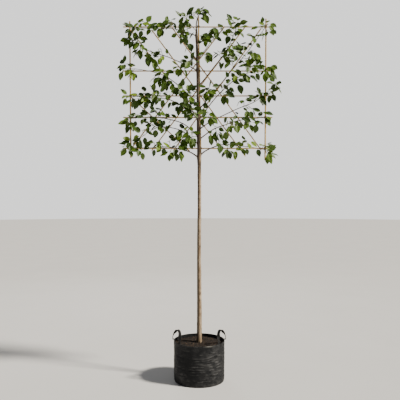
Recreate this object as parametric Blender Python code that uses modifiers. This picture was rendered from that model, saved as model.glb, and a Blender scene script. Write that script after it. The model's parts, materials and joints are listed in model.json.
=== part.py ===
"""A young pleached tree in a fabric grow bag: a straight clear stem, a flat crown trained on a
frame of bamboo canes, and a root ball of compost in a round bag with two webbing handles.

Metres, +Z up. The origin is the centre of the bag's flat underside. The crown spreads along X,
and its face looks towards -Y.
"""

import math
import random

import bmesh
import bpy
import numpy as np
from mathutils import Vector
from mathutils.bvhtree import BVHTree

GAP = 0.0003  # clearance between neighbouring solids
SHARP_DEG = 40.0  # an edge where the faces turn further than this is a real edge

# The grow bag and the compost in it.
BAG_HEIGHT = 0.350
BAG_RIM_RADIUS = 0.2225
BAG_BELLY_RADIUS = 0.2210
BAG_FOOT_RADIUS = 0.216
BAG_WALL = 0.004
BAG_SEGMENTS = 40
SOIL_TOP = 0.326
SOIL_EDGE = 0.318
SOIL_FLAT_RADIUS = 0.060

# The two carrying handles: a webbing strap from one foot to the other, inside the rim.
STRAP_WIDTH = 0.028
STRAP_THICKNESS = 0.002
STRAP_RISE = 0.110
STRAP_RADIUS = BAG_RIM_RADIUS - BAG_WALL - 0.0025  # to the middle of the strap at its feet
STRAP_STEPS = 36
STRAP_LEG_SHARE = 0.10  # share of the strap in each upright leg inside the rim
STRAP_TURN_LIFT = (0.26, 0.74)  # shares of its rise between which the strap turns flat
STRAP_ARCH = (  # share of the arch, share of the way to the side foot, share of the rise, outwards
    (0.00, 0.00, 0.00, 0.0000),
    (0.10, 0.00, 0.16, -0.0020),
    (0.22, 0.01, 0.44, -0.0060),
    (0.34, 0.05, 0.76, -0.0095),
    (0.42, 0.15, 0.94, -0.0095),
    (0.50, 0.35, 1.00, -0.0060),
    (0.60, 0.56, 0.76, 0.0010),
    (0.70, 0.74, 0.50, 0.0090),
    (0.79, 0.90, 0.25, 0.0155),
    (0.85, 1.00, 0.10, 0.0185),
    (0.90, 1.00, 0.050, 0.0165),
    (0.96, 1.00, 0.045, 0.0000),
    (1.00, 1.00, 0.000, 0.0000),
)
STRAP_EASE = 0.03  # how far the arch's corners are rounded, as a share of it
HANDLE_FEET_DEG = {"handle_left": (219.0, 183.0), "handle_right": (-39.0, -3.0)}

# The trunk, from its flat cut on the compost to the tip that the leader grows from.
FORK_HEIGHT = 1.935
TRUNK_TIP = 3.090
TRUNK_X = 0.0003
TRUNK_LEAN = 0.0215  # metres towards -X for each metre above the fork
TRUNK_SWAY = 0.0016
TRUNK_POINTS = 20
TRUNK_MIN_STEP = 0.012
TRUNK_HEIGHTS = (
    SOIL_TOP, 0.36, 0.45, 0.72, 1.10, 1.60, 1.87, FORK_HEIGHT, 2.04, 2.40, 2.80, 2.93, 2.99, TRUNK_TIP
)
TRUNK_RADII = (
    0.0245, 0.0228, 0.0217, 0.0202, 0.0174, 0.0162, 0.0164, 0.0195, 0.0162, 0.0140, 0.0112, 0.0098,
    0.0122, 0.0056
)

# The bamboo frame, in layers one behind the other: uprights, rails, then the two sets of braces.
UPRIGHT_RADIUS = 0.0075
RAIL_RADIUS = 0.0060
BRACE_RADIUS = 0.0058
CANE_SIDES = 8
CANE_TAPER = 0.94
RAIL_HEIGHTS = (2.027, 2.300, 2.491, 2.710, 3.100)
RAIL_ENDS = (-0.672, 0.646)
UPRIGHTS = {  # name: (x at the foot, foot height, x at the top, top height)
    "cane_upright_left": (-0.603, 1.943, -0.612, 3.145),
    "cane_upright_centre": (0.0135, 1.960, -0.0085, 3.195),
    "cane_upright_right": (0.580, 1.921, 0.588, 3.167),
}
FALLING_BRACES = {  # name: (x and height of the upper end, x and height of the lower end)
    "cane_falling_1": (-0.611, 2.489, -0.085, 2.004),
    "cane_falling_2": (-0.618, 3.089, 0.208, 2.012),
    "cane_falling_3": (-0.422, 3.078, 0.410, 1.957),
    "cane_falling_4": (-0.238, 3.095, 0.550, 2.012),
}
RISING_BRACES = {
    "cane_rising_1": (0.226, 3.112, -0.606, 2.022),
    "cane_rising_2": (0.410, 3.112, -0.422, 2.009),
    "cane_rising_3": (0.550, 3.096, -0.230, 2.009),
}

# Each bough: side, height and angle where it forks, reach, height and angle at its end, how hard
# each end's direction is held, radius at the fork, and the share of its length where its leafy
# part begins.
BOUGHS = {
    "left_1": (-1, 1.935, 42, 0.645, 2.040, 6, 0.34, 0.45, 0.0062, 0.17),
    "left_2": (-1, 2.052, 46, 0.535, 2.100, -42, 0.48, 0.50, 0.0048, 0.13),
    "left_3": (-1, 2.118, 52, 0.622, 2.285, -6, 0.38, 0.42, 0.0052, 0.15),
    "left_4": (-1, 2.272, 50, 0.638, 2.482, 2, 0.42, 0.42, 0.0050, 0.12),
    "left_5": (-1, 2.398, 52, 0.668, 2.722, -4, 0.36, 0.42, 0.0048, 0.18),
    "left_6": (-1, 2.701, 34, 0.616, 2.985, 38, 0.34, 0.36, 0.0048, 0.10),
    "left_7": (-1, 2.790, 58, 0.245, 3.135, 66, 0.34, 0.34, 0.0036, 0.22),
    "left_8": (-1, 3.008, 26, 0.600, 3.078, 0, 0.34, 0.40, 0.0042, 0.10),
    "right_1": (1, 1.950, 52, 0.605, 2.006, -12, 0.30, 0.46, 0.0060, 0.17),
    "right_2": (1, 2.097, 40, 0.585, 2.300, 8, 0.40, 0.44, 0.0052, 0.12),
    "right_3": (1, 2.182, 40, 0.672, 2.598, 52, 0.40, 0.40, 0.0050, 0.22),
    "right_4": (1, 2.262, 55, 0.630, 2.735, 8, 0.42, 0.42, 0.0050, 0.34),
    "right_5": (1, 2.355, 50, 0.602, 3.118, 55, 0.36, 0.38, 0.0050, 0.24),
    "right_6": (1, 2.561, 51, 0.340, 3.130, 76, 0.36, 0.36, 0.0044, 0.30),
    "right_7": (1, 2.790, 56, 0.205, 3.062, 42, 0.36, 0.36, 0.0036, 0.17),
}

# Where each bough bears its sprays, as (share of its length, way in which the spur points). The
# way is in degrees: 0 outwards from the trunk, 90 up, -90 down.
SPRAYS = {
    "left_1": (
        (0.29, -20), (0.33, 80), (0.43, -60), (0.47, 90), (0.57, 70), (0.67, 80), (0.81, -50),
        (0.94, 90), (0.97, -70)
    ),
    "left_2": ((0.15, -55), (0.21, 30), (0.64, -45), (0.74, 60), (0.93, 90)),
    "left_3": ((0.46, -55), (0.52, 85), (0.57, -30), (0.63, 60), (0.76, -30), (0.87, 20), (0.97, -70)),
    "left_4": (
        (0.15, 90), (0.30, -35), (0.45, 90), (0.57, 50), (0.66, 80), (0.69, -35), (0.79, 90),
        (0.83, -40), (0.92, -60)
    ),
    "left_5": ((0.24, 40), (0.47, -45), (0.51, 65), (0.58, -45), (0.88, -40), (0.96, -90), (0.98, 70)),
    "left_6": (
        (0.13, 90), (0.20, -45), (0.49, -45), (0.51, 70), (0.58, -40), (0.73, -80),
        (0.78, 60), (0.82, -85), (0.86, 80), (0.93, 60)
    ),
    "left_7": ((0.46, 175), (0.66, 175)),
    "left_8": (
        (0.13, 60), (0.46, 80), (0.53, -20), (0.66, 90), (0.77, 60),
        (0.86, 40), (0.89, -40)
    ),
    "right_1": (
        (0.36, 70), (0.50, -80), (0.61, -50), (0.77, 90), (0.85, 70), (0.93, 60), (0.96, -60)
    ),
    "right_2": (
        (0.16, -50), (0.27, -75), (0.40, -60), (0.51, -50), (0.60, -75), (0.63, 50),
        (0.78, -65), (0.86, -50), (0.95, 75)
    ),
    "right_3": ((0.56, 90), (0.60, -40), (0.63, 80), (0.70, 60), (0.78, 90), (0.87, -30), (0.93, 40)),
    "right_4": (
        (0.37, -30), (0.40, 110), (0.47, 60), (0.56, -5), (0.63, 85), (0.71, -20), (0.79, 90),
        (0.85, 75), (0.92, -30), (0.97, -90)
    ),
    "right_5": (
        (0.50, 110), (0.60, 110), (0.63, -10), (0.73, -25), (0.75, 150), (0.83, 140), (0.94, 130),
        (0.96, -60)
    ),
    "right_6": (
        (0.44, 60), (0.50, -20), (0.55, 150), (0.58, 30), (0.70, 0), (0.80, 140), (0.89, 160),
        (0.91, -20), (0.97, 165), (0.98, -15)
    ),
    "right_7": ((0.22, -40), (0.68, 130), (0.90, 130)),
}
BOUGH_FORWARD = {"left_7": -0.026}  # this one crosses in front of another
BOUGH_SWAY = 0.004
BOUGH_TIP_RADIUS = 0.0019
BOUGH_TIE_RADIUS = 0.0026  # a bough's radius where it is tied, with a little room
BOUGH_POINTS = 8
LIMB_SIDES_LEVEL = 1  # a bevel of this level has 6 sides
TRUNK_SIDES_LEVEL = 4  # and one of this level has 12
ROOT_GAP = 1.6 * GAP  # between the trunk and a bough or shoot that springs from it
STEM_GAP = 1.4 * GAP  # between a bough's end and the leafy stem that carries on from it
END_SHARE = 0.012  # where a limb's second point lies, as a share of its length

# Short leafy shoots that spring from the trunk itself: side, height, length and rise in degrees.
TRUNK_SHOOTS = {
    "left_low": (-1, 2.130, 0.060, -10),
    "left_inner": (-1, 2.318, 0.060, 20),
    "left_middle": (-1, 2.455, 0.090, 20),
    "left_high": (-1, 2.745, 0.070, 30),
    "left_top": (-1, 3.050, 0.150, 42),
    "right_low": (1, 2.300, 0.095, -5),
    "right_middle": (1, 2.470, 0.105, 25),
    "right_high": (1, 2.945, 0.080, 35),
}
SHOOT_RADIUS = 0.0030
SHOOT_FORWARD = -0.60
SHOOT_TAPER = 0.35
SHOOT_SPRAYS = ((0.72, 60),)
LEADER_SPRAYS = ((0.45, 150), (0.75, 0))
LEADER_REACH = (0.060, -0.012, 0.145)  # from the trunk's tip to the leader's

# The growth rule of the leafy masses.
SPUR_LENGTH = (0.026, 0.056)
SPUR_RADIUS = 0.0029  # at its swollen end
SPUR_ROOT_SHARE = 0.55  # of the stem's own radius, so that its root stays inside the stem
SPUR_FORWARD = (-0.80, -0.15)  # how far a spur leans out of the flat crown's face
LEAVES_IN_SPRAY = (1, 3)
LEAVES_AT_TIP = 4
GOLDEN_DEG = 137.5
STALK_LENGTH = (0.018, 0.030)
STALK_RADIUS = 0.0010
STALK_SUNK = 0.0026
STALK_STEP = 0.0034  # from one leaf's stalk to the next, down the spur
BLADE_LENGTH = (0.064, 0.090)
BLADE_SHARE = 0.62  # width over length
BLADE_WIDEST = 0.42
BLADE_KEEL = 0.035  # depth of the fold along the midrib, as a share of the blade's length
BLADE_CURL = 0.08
FACING = Vector((0.0, -0.95, 0.45))  # which way the blades tend to face
DROOP = (0.10, 1.20)
TIP_LEAF_SCALE = 0.88
SPACE_REACH = 0.175  # how far from its stem a mass may spread
CROWN_SIDE = 0.734
CROWN_TOP = 3.262
CROWN_DEPTH = 0.150
STEM_KNOTS = 12  # steps along a stem from which a mass's spread is measured
LONG_STEM = 0.3
SHORT_STEM_POINTS = 5
LEAF_TRIES_DEG = (0.0, 38.0, -38.0, 80.0)
TEST_MARGIN = 0.0010  # room kept round a leaf or twig while its clearance is tested

SEED = 41


def clear_scene():
    for obj in list(bpy.data.objects):
        bpy.data.objects.remove(obj)


def new_collection(name):
    collection = bpy.data.collections.new(name)
    bpy.context.scene.collection.children.link(collection)
    return collection


def material(name, colour, roughness):
    made = bpy.data.materials.new(name)
    made.use_nodes = True
    shader = made.node_tree.nodes["Principled BSDF"]
    shader.inputs["Base Color"].default_value = (*colour, 1.0)
    shader.inputs["Roughness"].default_value = roughness
    return made


def make_materials():
    return {
        "bag": material("bag_fabric", (0.022, 0.023, 0.025), 0.62),
        "webbing": material("handle_webbing", (0.016, 0.016, 0.018), 0.75),
        "compost": material("compost", (0.060, 0.036, 0.022), 0.95),
        "bark": material("bark", (0.170, 0.135, 0.110), 0.85),
        "cane": material("bamboo_cane", (0.640, 0.430, 0.210), 0.50),
        "leaf": material("leaf_green", (0.045, 0.115, 0.022), 0.42),
    }


def shade_round(mesh):
    """Shades round faces smooth, up to the real edges."""
    mesh.shade_smooth()
    mesh.set_sharp_from_angle(angle=math.radians(SHARP_DEG))


def place(obj, collection, surface):
    collection.objects.link(obj)
    obj.data.materials.clear()
    obj.data.materials.append(surface)
    return obj


def evaluated_mesh(obj):
    """The object's mesh with its modifiers applied, its curve caps welded, in world space."""
    bpy.context.view_layer.update()
    graph = bpy.context.evaluated_depsgraph_get()
    mesh = bpy.data.meshes.new_from_object(obj.evaluated_get(graph))
    mesh.transform(obj.matrix_world)
    shape = bmesh.new()
    shape.from_mesh(mesh)
    bmesh.ops.remove_doubles(shape, verts=shape.verts, dist=1e-6)
    shape.to_mesh(mesh)
    shape.free()
    return mesh


def apply_modifiers(obj):
    """Replaces the object's mesh by its modified one, with the round faces shaded smooth."""
    mesh = evaluated_mesh(obj)
    shade_round(mesh)
    obj.modifiers.clear()
    obj.data = mesh
    return obj


# ---------------------------------------------------------------- bag, compost, handles


def bag_profile():
    """The bag's outer side, from the rim down to the middle of the underside."""
    return [
        (BAG_RIM_RADIUS, BAG_HEIGHT),
        (BAG_BELLY_RADIUS + 0.001, 0.200),
        (BAG_BELLY_RADIUS + 0.0005, 0.045),
        (BAG_BELLY_RADIUS - 0.0015, 0.012),
        (BAG_FOOT_RADIUS, 0.0),
        (0.0, 0.0),
    ]


def inset(profile, distance):
    """The profile moved inwards by this distance, each side kept parallel to itself."""
    points = [Vector(p) for p in profile]
    sides = [(b - a).normalized() for a, b in zip(points, points[1:])]
    normals = [Vector((side.y, -side.x)) for side in sides]  # towards the axis, or up at the base
    moved = []
    for i, point in enumerate(points):
        before = normals[max(i - 1, 0)]
        after = normals[min(i, len(normals) - 1)]
        mitre = (before + after).normalized()
        moved.append(point + mitre * (distance / mitre.dot(after)))
    return [(p.x, p.y) for p in moved]


def turned(name, profile, surface, collection):
    mesh = bpy.data.meshes.new(name)
    rows = [(radius, 0.0, height) for radius, height in profile]
    mesh.from_pydata(rows, [(i, i + 1) for i in range(len(rows) - 1)], [])
    obj = place(bpy.data.objects.new(name, mesh), collection, surface)
    screw = obj.modifiers.new("turn", "SCREW")
    screw.steps = screw.render_steps = BAG_SEGMENTS
    screw.use_merge_vertices = True
    screw.merge_threshold = 0.00002
    return obj


def make_bag(collection, surfaces):
    bag = turned("grow_bag", bag_profile(), surfaces["bag"], collection)
    wall = bag.modifiers.new("fabric", "SOLIDIFY")
    wall.thickness = BAG_WALL
    wall.offset = -1.0
    wall.use_even_offset = True
    return apply_modifiers(bag)


def make_root_ball(collection, surfaces):
    """Compost that fills the bag to a little under its rim, with a flat seat for the trunk."""
    side = inset(bag_profile(), BAG_WALL + 2 * GAP)
    low = [point for point in side[1:] if point[1] < SOIL_EDGE - 0.01]
    top, first = side[0], low[0]
    share = (top[1] - SOIL_EDGE) / (top[1] - first[1])
    edge = (top[0] + (first[0] - top[0]) * share, SOIL_EDGE)
    low[-1] = (0.0, low[-1][1])
    profile = [(0.0, SOIL_TOP), (SOIL_FLAT_RADIUS, SOIL_TOP), edge, *low]
    return apply_modifiers(turned("root_ball", profile, surfaces["compost"], collection))


def strap_point(share, feet_deg):
    """Centre of the strap at this share of its length, how far it is turned flat (0 to 1), and
    its outward direction."""
    leg = STRAP_LEG_SHARE
    foot, arch_foot = SOIL_EDGE + 2 * GAP, BAG_HEIGHT + GAP
    arch = min(max((share - leg) / (1 - 2 * leg), 0.0), 1.0)
    near = arch + np.linspace(-STRAP_EASE, STRAP_EASE, 9)
    knots = np.array(STRAP_ARCH).T
    across, lift, out = (float(np.interp(near, knots[0], row).mean()) for row in knots[1:])
    level, flat = STRAP_TURN_LIFT
    turned = min(max((lift - level) / (flat - level), 0.0), 1.0)
    below = max(leg - min(share, 1 - share), 0.0) / leg
    angle = math.radians(feet_deg[0] + (feet_deg[1] - feet_deg[0]) * across)
    outward = Vector((math.cos(angle), math.sin(angle), 0.0))
    height = arch_foot + STRAP_RISE * lift - below * (arch_foot - foot)
    centre = outward * (STRAP_RADIUS + out * (1.0 - below))
    return centre + Vector((0.0, 0.0, height)), turned, outward


def make_handle(name, feet_deg, collection, surfaces):
    """A strap that stands flat against the wall at its feet and turns through a right angle
    on its way up, as webbing does, so that it lies flat over the top."""
    hand = math.copysign(1.0, feet_deg[1] - feet_deg[0])
    shape = bmesh.new()
    bmesh.ops.create_grid(shape, x_segments=STRAP_STEPS, y_segments=1, size=1.0)
    for corner in shape.verts:
        share, across = (corner.co.x + 1) / 2, corner.co.y
        centre, turned_flat, outward = strap_point(share, feet_deg)
        ahead = strap_point(min(share + 0.01, 1.0), feet_deg)[0]
        behind = strap_point(max(share - 0.01, 0.0), feet_deg)[0]
        along = (ahead - behind).normalized()
        flat = square_to(along, outward)
        twist = math.pi / 2 * turned_flat * hand
        width = along.cross(flat) * math.cos(twist) + flat * math.sin(twist)
        corner.co = centre + width * (across * STRAP_WIDTH / 2)
        if turned_flat == 0.0:  # against the wall the strap follows its curve
            corner.co.xy = corner.co.xy.normalized() * centre.xy.length
    mesh = bpy.data.meshes.new(name)
    shape.to_mesh(mesh)
    shape.free()
    strap = place(bpy.data.objects.new(name, mesh), collection, surfaces["webbing"])
    thick = strap.modifiers.new("webbing", "SOLIDIFY")
    thick.thickness = STRAP_THICKNESS
    thick.offset = 0.0
    return apply_modifiers(strap)


# ---------------------------------------------------------------- trunk and boughs


def trunk_axis(height):
    above = max(height - FORK_HEIGHT, 0.0)
    sway = TRUNK_SWAY * math.sin(6.0 * (height - SOIL_TOP))
    return Vector((TRUNK_X - TRUNK_LEAN * above + sway, 0.6 * sway, height))


def trunk_radius(height):
    return float(np.interp(height, TRUNK_HEIGHTS, TRUNK_RADII))


def tube(name, points, radii, level):
    """A round limb along these points, with a radius at each, as a curve with filled caps."""
    curve = bpy.data.curves.new(name, "CURVE")
    curve.dimensions = "3D"
    curve.bevel_depth = 1.0
    curve.bevel_resolution = level
    curve.use_fill_caps = True
    spline = curve.splines.new("POLY")
    spline.points.add(len(points) - 1)
    for knot, point, radius in zip(spline.points, points, radii):
        knot.co = (*point, 1.0)
        knot.radius = radius
    return bpy.data.objects.new(name, curve)


def tube_mesh(name, points, radii, level):
    limb = tube(name + "_curve", points, radii, level)
    bpy.context.scene.collection.objects.link(limb)
    mesh = evaluated_mesh(limb)
    bpy.data.objects.remove(limb)
    mesh.name = name
    shade_round(mesh)
    return mesh


def trunk_rows(extra_radius):
    low, high = SOIL_TOP + GAP, TRUNK_TIP
    even = np.linspace(low, high, TRUNK_POINTS)
    heights = sorted({low, *(h for h in TRUNK_HEIGHTS if low < h < high), *even[1:]})
    steps = [following - h for h, following in zip(heights, heights[1:])]
    kept = [h for h, step in zip(heights, steps) if step > TRUNK_MIN_STEP] + [high]
    points = [trunk_axis(height) for height in kept]
    return points, [trunk_radius(height) + extra_radius for height in kept]


def make_trunk(collection, surfaces):
    mesh = tube_mesh("trunk", *trunk_rows(0.0), level=TRUNK_SIDES_LEVEL)
    return place(bpy.data.objects.new("trunk", mesh), collection, surfaces["bark"])


def make_trunk_cutter(collection):
    """The trunk with the clearance added, which trims each bough and shoot at its root."""
    mesh = tube_mesh("trunk_clearance", *trunk_rows(ROOT_GAP), level=TRUNK_SIDES_LEVEL)
    cutter = bpy.data.objects.new("trunk_clearance", mesh)
    collection.objects.link(cutter)
    cutter.hide_render = True
    cutter.display_type = "WIRE"
    return cutter


def bough_path(name):
    """A function from a share of the bough's length to its centre and radius there."""
    side, fork, fork_deg, reach, top, top_deg, fork_pull, top_pull, thick, _ = BOUGHS[name]
    start = trunk_axis(fork)
    end = Vector((side * reach, bough_layer() + BOUGH_FORWARD.get(name, 0.0), top))
    chord = (end - start).length
    leave, arrive = math.radians(fork_deg), math.radians(top_deg)
    first = start + chord * fork_pull * Vector((side * math.cos(leave), 0.0, math.sin(leave)))
    last = end - chord * top_pull * Vector((side * math.cos(arrive), 0.0, math.sin(arrive)))
    phase = random.Random(name).uniform(0.0, math.tau)

    def at(share):
        rest = max(1.0 - share, 0.0)
        point = start * rest**3 + first * (3 * rest**2 * share)
        point += last * (3 * rest * share**2) + end * share**3
        sway = BOUGH_SWAY * math.sin(math.pi * share)
        point.y += sway * math.sin(9.0 * share + phase) - sway
        point.z += sway * math.sin(13.0 * share + phase)
        collar = 1.0 + 0.45 * math.exp(-share * chord / 0.022)
        radius = BOUGH_TIP_RADIUS + (thick - BOUGH_TIP_RADIUS) * rest**0.85
        return point, radius * collar

    return at, chord


def path_rows(at, start, end, count):
    """Centres and radii along a path. A second point just inside each end keeps the end cuts
    square to the path, so that one limb can carry on from another without touching it."""
    even = [start + (end - start) * i / (count - 1) for i in range(count)]
    near = (end - start) * END_SHARE
    rows = [at(share) for share in (start, start + near, *even[1:-1], end - near, end)]
    return [point for point, _ in rows], [radius for _, radius in rows]


def make_bough(name, cutter, collection, surfaces):
    """The bare inner limb, from the trunk's bark to where its leafy part begins."""
    at, _ = bough_path(name)
    leafy_from = BOUGHS[name][9]
    points, radii = path_rows(at, 0.0, leafy_from, 5)
    node = "bough_" + name
    mesh = tube_mesh(node, points, radii, LIMB_SIDES_LEVEL)
    bough = place(bpy.data.objects.new(node, mesh), collection, surfaces["bark"])
    root = bough.modifiers.new("trimmed_at_trunk", "BOOLEAN")
    root.operation = "DIFFERENCE"
    root.object = cutter
    return bough


# ---------------------------------------------------------------- bamboo frame


def upright_layer():
    """How far behind the trunk's axis the uprights stand, so that the middle one rests against
    the trunk where it comes nearest."""
    foot_x, foot, top_x, top = UPRIGHTS["cane_upright_centre"]
    nearest = 0.0
    for height in np.linspace(foot, min(top, TRUNK_TIP), 60):
        centre = trunk_axis(height)
        aside = float(np.interp(height, (foot, top), (foot_x, top_x))) - centre.x
        apart = trunk_radius(height) + UPRIGHT_RADIUS + GAP
        nearest = max(nearest, centre.y + math.sqrt(max(apart**2 - aside**2, 0.0)))
    return nearest


def bough_layer():
    """Where the boughs' ends lie: just in front of the uprights that they are tied to."""
    return upright_layer() - UPRIGHT_RADIUS - GAP - BOUGH_TIE_RADIUS


def cane_layers():
    """Distance behind the trunk's axis of each layer of canes, so that crossing canes touch."""
    uprights = upright_layer()
    rails = uprights + UPRIGHT_RADIUS + GAP + RAIL_RADIUS
    falling = rails + RAIL_RADIUS + GAP + BRACE_RADIUS
    rising = falling + 2 * BRACE_RADIUS + GAP
    return uprights, rails, falling, rising


def make_cane(name, start, end, radius, collection, surfaces):
    start, end = Vector(start), Vector(end)
    shape = bmesh.new()
    bmesh.ops.create_cone(
        shape,
        segments=CANE_SIDES,
        radius1=radius,
        radius2=radius * CANE_TAPER,
        depth=(end - start).length,
        cap_ends=True,
    )
    mesh = bpy.data.meshes.new(name)
    shape.to_mesh(mesh)
    shape.free()
    shade_round(mesh)
    cane = place(bpy.data.objects.new(name, mesh), collection, surfaces["cane"])
    cane.location = (start + end) / 2
    cane.rotation_mode = "QUATERNION"
    cane.rotation_quaternion = (end - start).to_track_quat("Z", "Y")
    return cane


def make_frame(collection, surfaces):
    uprights, rails, falling, rising = cane_layers()
    canes = []

    def add(name, x1, z1, x2, z2, layer, radius):
        ends = (x1, layer, z1), (x2, layer, z2)
        canes.append(make_cane(name, *ends, radius, collection, surfaces))

    for name, (x1, z1, x2, z2) in UPRIGHTS.items():
        add(name, x1, z1, x2, z2, uprights, UPRIGHT_RADIUS)
    for row, height in enumerate(RAIL_HEIGHTS, start=1):
        ends = RAIL_ENDS if row % 2 else RAIL_ENDS[::-1]
        add(f"cane_rail_{row}", ends[0], height, ends[1], height, rails, RAIL_RADIUS)
    for layer, braces in ((falling, FALLING_BRACES), (rising, RISING_BRACES)):
        for name, (x1, z1, x2, z2) in braces.items():
            add(name, x1, z1, x2, z2, layer, BRACE_RADIUS)
    return canes


# ---------------------------------------------------------------- growth rule


def direction(degrees, axis, start):
    """start turned by this angle about axis."""
    turn = math.radians(degrees)
    return start * math.cos(turn) + axis.cross(start) * math.sin(turn)


def square_to(axis, wish):
    """The part of wish that is square to axis, as a unit vector."""
    part = wish - axis * wish.dot(axis)
    if part.length < 1e-4:
        part = Vector((0.0, -1.0, 0.0)) - axis * -axis.y
    return part.normalized()


def leaf_frame(root, axis, out, draws, scale):
    """Where one leaf goes: its stalk's two ends, and its blade's direction, face and size."""
    _, stalk, length, droop, spread, roll = draws
    stalk_way = (axis * 0.55 + out * (0.75 + 0.4 * spread)).normalized()
    base = root + stalk_way * (STALK_SUNK + stalk * scale)
    blade = (stalk_way + Vector((0.0, 0.0, -1.0)) * droop).normalized()
    face = square_to(blade, out * 0.6 + FACING)
    face = direction(roll, blade, face)
    return {"root": root, "base": base, "blade": blade, "face": face, "length": length * scale}


def leaf_rings(leaf):
    """The leaf's solid as rings of three points, and its tip: the stalk's root and end, and the
    blade's widest part, which is folded a little along its keel."""
    blade, face, length = leaf["blade"], leaf["face"], leaf["length"]
    side = blade.cross(face).normalized()
    half = side * (length * BLADE_SHARE / 2)
    middle = leaf["base"] + blade * (length * BLADE_WIDEST)

    def stalk_ring(centre, along):
        across = square_to(along, side) * STALK_RADIUS
        under = square_to(along, -face) * STALK_RADIUS
        return [centre - across - under / 2, centre + across - under / 2, centre + under]

    stalk = (leaf["base"] - leaf["root"]).normalized()
    wide = [middle - half, middle + half, middle - face * (BLADE_KEEL * length)]
    tip = leaf["base"] + blade * length - face * (BLADE_CURL * length)
    return [stalk_ring(leaf["root"], stalk), stalk_ring(leaf["base"], blade), wide], tip


def leaf_shape(leaf):
    """(points, faces) of a leaf."""
    rings, tip = leaf_rings(leaf)
    shape = bmesh.new()
    loops = [[shape.verts.new(point) for point in ring] for ring in rings]
    end = shape.verts.new(tip)
    shape.faces.new(loops[0])
    for near, far in zip(loops, loops[1:]):
        for i in range(3):
            j = (i + 1) % 3
            shape.faces.new((near[i], near[j], far[j]))
            shape.faces.new((near[i], far[j], far[i]))
    for i in range(3):
        shape.faces.new((loops[-1][i], loops[-1][(i + 1) % 3], end))
    bmesh.ops.recalc_face_normals(shape, faces=shape.faces)
    return as_arrays(shape)


def envelope(points):
    """(points, faces) of the smallest convex shape that keeps TEST_MARGIN round these points."""
    shape = bmesh.new()
    steps = [Vector(step) * TEST_MARGIN for step in np.vstack((np.eye(3), -np.eye(3)))]
    corners = [shape.verts.new(point + step) for point in points for step in steps]
    hull = bmesh.ops.convex_hull(shape, input=corners)
    inside = {item for item in hull["geom_interior"] if isinstance(item, bmesh.types.BMVert)}
    bmesh.ops.delete(shape, geom=list(inside), context="VERTS")
    return as_arrays(shape)


def leaf_envelopes(leaf):
    """Envelopes of the leaf's blade and of its stalk."""
    (root, base, wide), tip = leaf_rings(leaf)
    return envelope([*base, *wide, tip]), envelope([*root, *base])


def as_arrays(shape):
    bmesh.ops.triangulate(shape, faces=shape.faces)
    shape.verts.index_update()
    points = [vert.co.copy() for vert in shape.verts]
    faces = [tuple(vert.index for vert in face.verts) for face in shape.faces]
    shape.free()
    return points, faces


def spur_shape(start, end, stem_radius):
    """(points, faces) of a stubby three-sided twig, which swells towards its end."""
    shape = bmesh.new()
    bmesh.ops.create_cone(
        shape,
        segments=3,
        radius1=min(SPUR_ROOT_SHARE * stem_radius, SPUR_RADIUS),
        radius2=SPUR_RADIUS,
        depth=(end - start).length,
        cap_ends=True,
    )
    turn = (end - start).to_track_quat("Z", "Y")
    for corner in shape.verts:
        corner.co = turn @ corner.co + (start + end) / 2
    return as_arrays(shape)


class Space:
    """Keeps what is already in place, each piece under its owner's name, and says whether a new
    piece is clear of it."""

    def __init__(self):
        self.trees = []

    def add(self, owner, solid):
        self.trees.append((owner, BVHTree.FromPolygons(*solid)))

    def is_clear(self, piece, apart_from=None):
        tree = BVHTree.FromPolygons(*piece)
        return not any(tree.overlap(other) for owner, other in self.trees if owner != apart_from)


def inside_crown(points):
    return all(
        abs(p.x) < CROWN_SIDE and abs(p.y) < CROWN_DEPTH and p.z < CROWN_TOP for p in points
    )


def near_stem(points, stem):
    return all(min((p - knot).length for knot in stem) < SPACE_REACH for p in points)


def leaf_draws(rng):
    return (
        rng.uniform(-18.0, 18.0),
        rng.uniform(*STALK_LENGTH),
        rng.uniform(*BLADE_LENGTH),
        rng.uniform(*DROOP),
        rng.random(),
        rng.uniform(-28.0, 28.0),
    )


def grow_spray(tip, axis, count, scale, rng, mass, space):
    """The leaves of one spray, set round the end of its spur by the golden angle. A leaf that
    would leave its space or touch anything is turned, and left out if that doesn't help."""
    start = square_to(axis, Vector((0.3, -0.6, 0.7)))
    turn = rng.uniform(0.0, 360.0)
    leaves = []
    for number in range(count):
        draws = leaf_draws(rng)
        turn += GOLDEN_DEG
        root = tip - axis * (STALK_SUNK + STALK_STEP * number)
        for extra in LEAF_TRIES_DEG:
            out = direction(turn + draws[0] + extra, axis, start)
            leaf = leaf_frame(root, axis, out, draws, scale)
            blade, stalk = leaf_envelopes(leaf)
            if not (inside_crown(blade[0]) and near_stem(blade[0], mass["knots"])):
                continue
            if space.is_clear(blade) and space.is_clear(stalk, apart_from=mass["node"]):
                leaves.append(leaf)
                space.add("blades", blade)
                break
    return leaves


def grow_mass(mass, rng, space):
    """The spurs and leaves of one mass, along its stem."""
    at, node = mass["at"], mass["node"]
    spurs, leaves = [], []
    for share, degrees in mass["places"]:
        centre, radius = at(share)
        turn = math.radians(degrees)
        out = (mass["side"] * math.cos(turn), rng.uniform(*SPUR_FORWARD), math.sin(turn))
        axis = Vector(out).normalized()
        tip = centre + axis * (radius + rng.uniform(*SPUR_LENGTH))
        count = rng.randint(*LEAVES_IN_SPRAY)
        spray = random.Random(rng.random())
        spur = envelope(spur_shape(centre, tip, radius)[0])
        if not (inside_crown(spur[0]) and space.is_clear(spur, apart_from=node)):
            continue
        space.add(node, spur)
        grown = grow_spray(tip, axis, count, 1.0, spray, mass, space)
        if grown:
            spurs.append((centre, tip, radius))
            leaves += grown
        else:
            space.trees.pop()
    tip, _ = at(1.0)
    along = (tip - at(0.96)[0]).normalized()
    spray = random.Random(rng.random())
    leaves += grow_spray(tip, along, LEAVES_AT_TIP, TIP_LEAF_SCALE, spray, mass, space)
    return spurs, leaves


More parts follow.
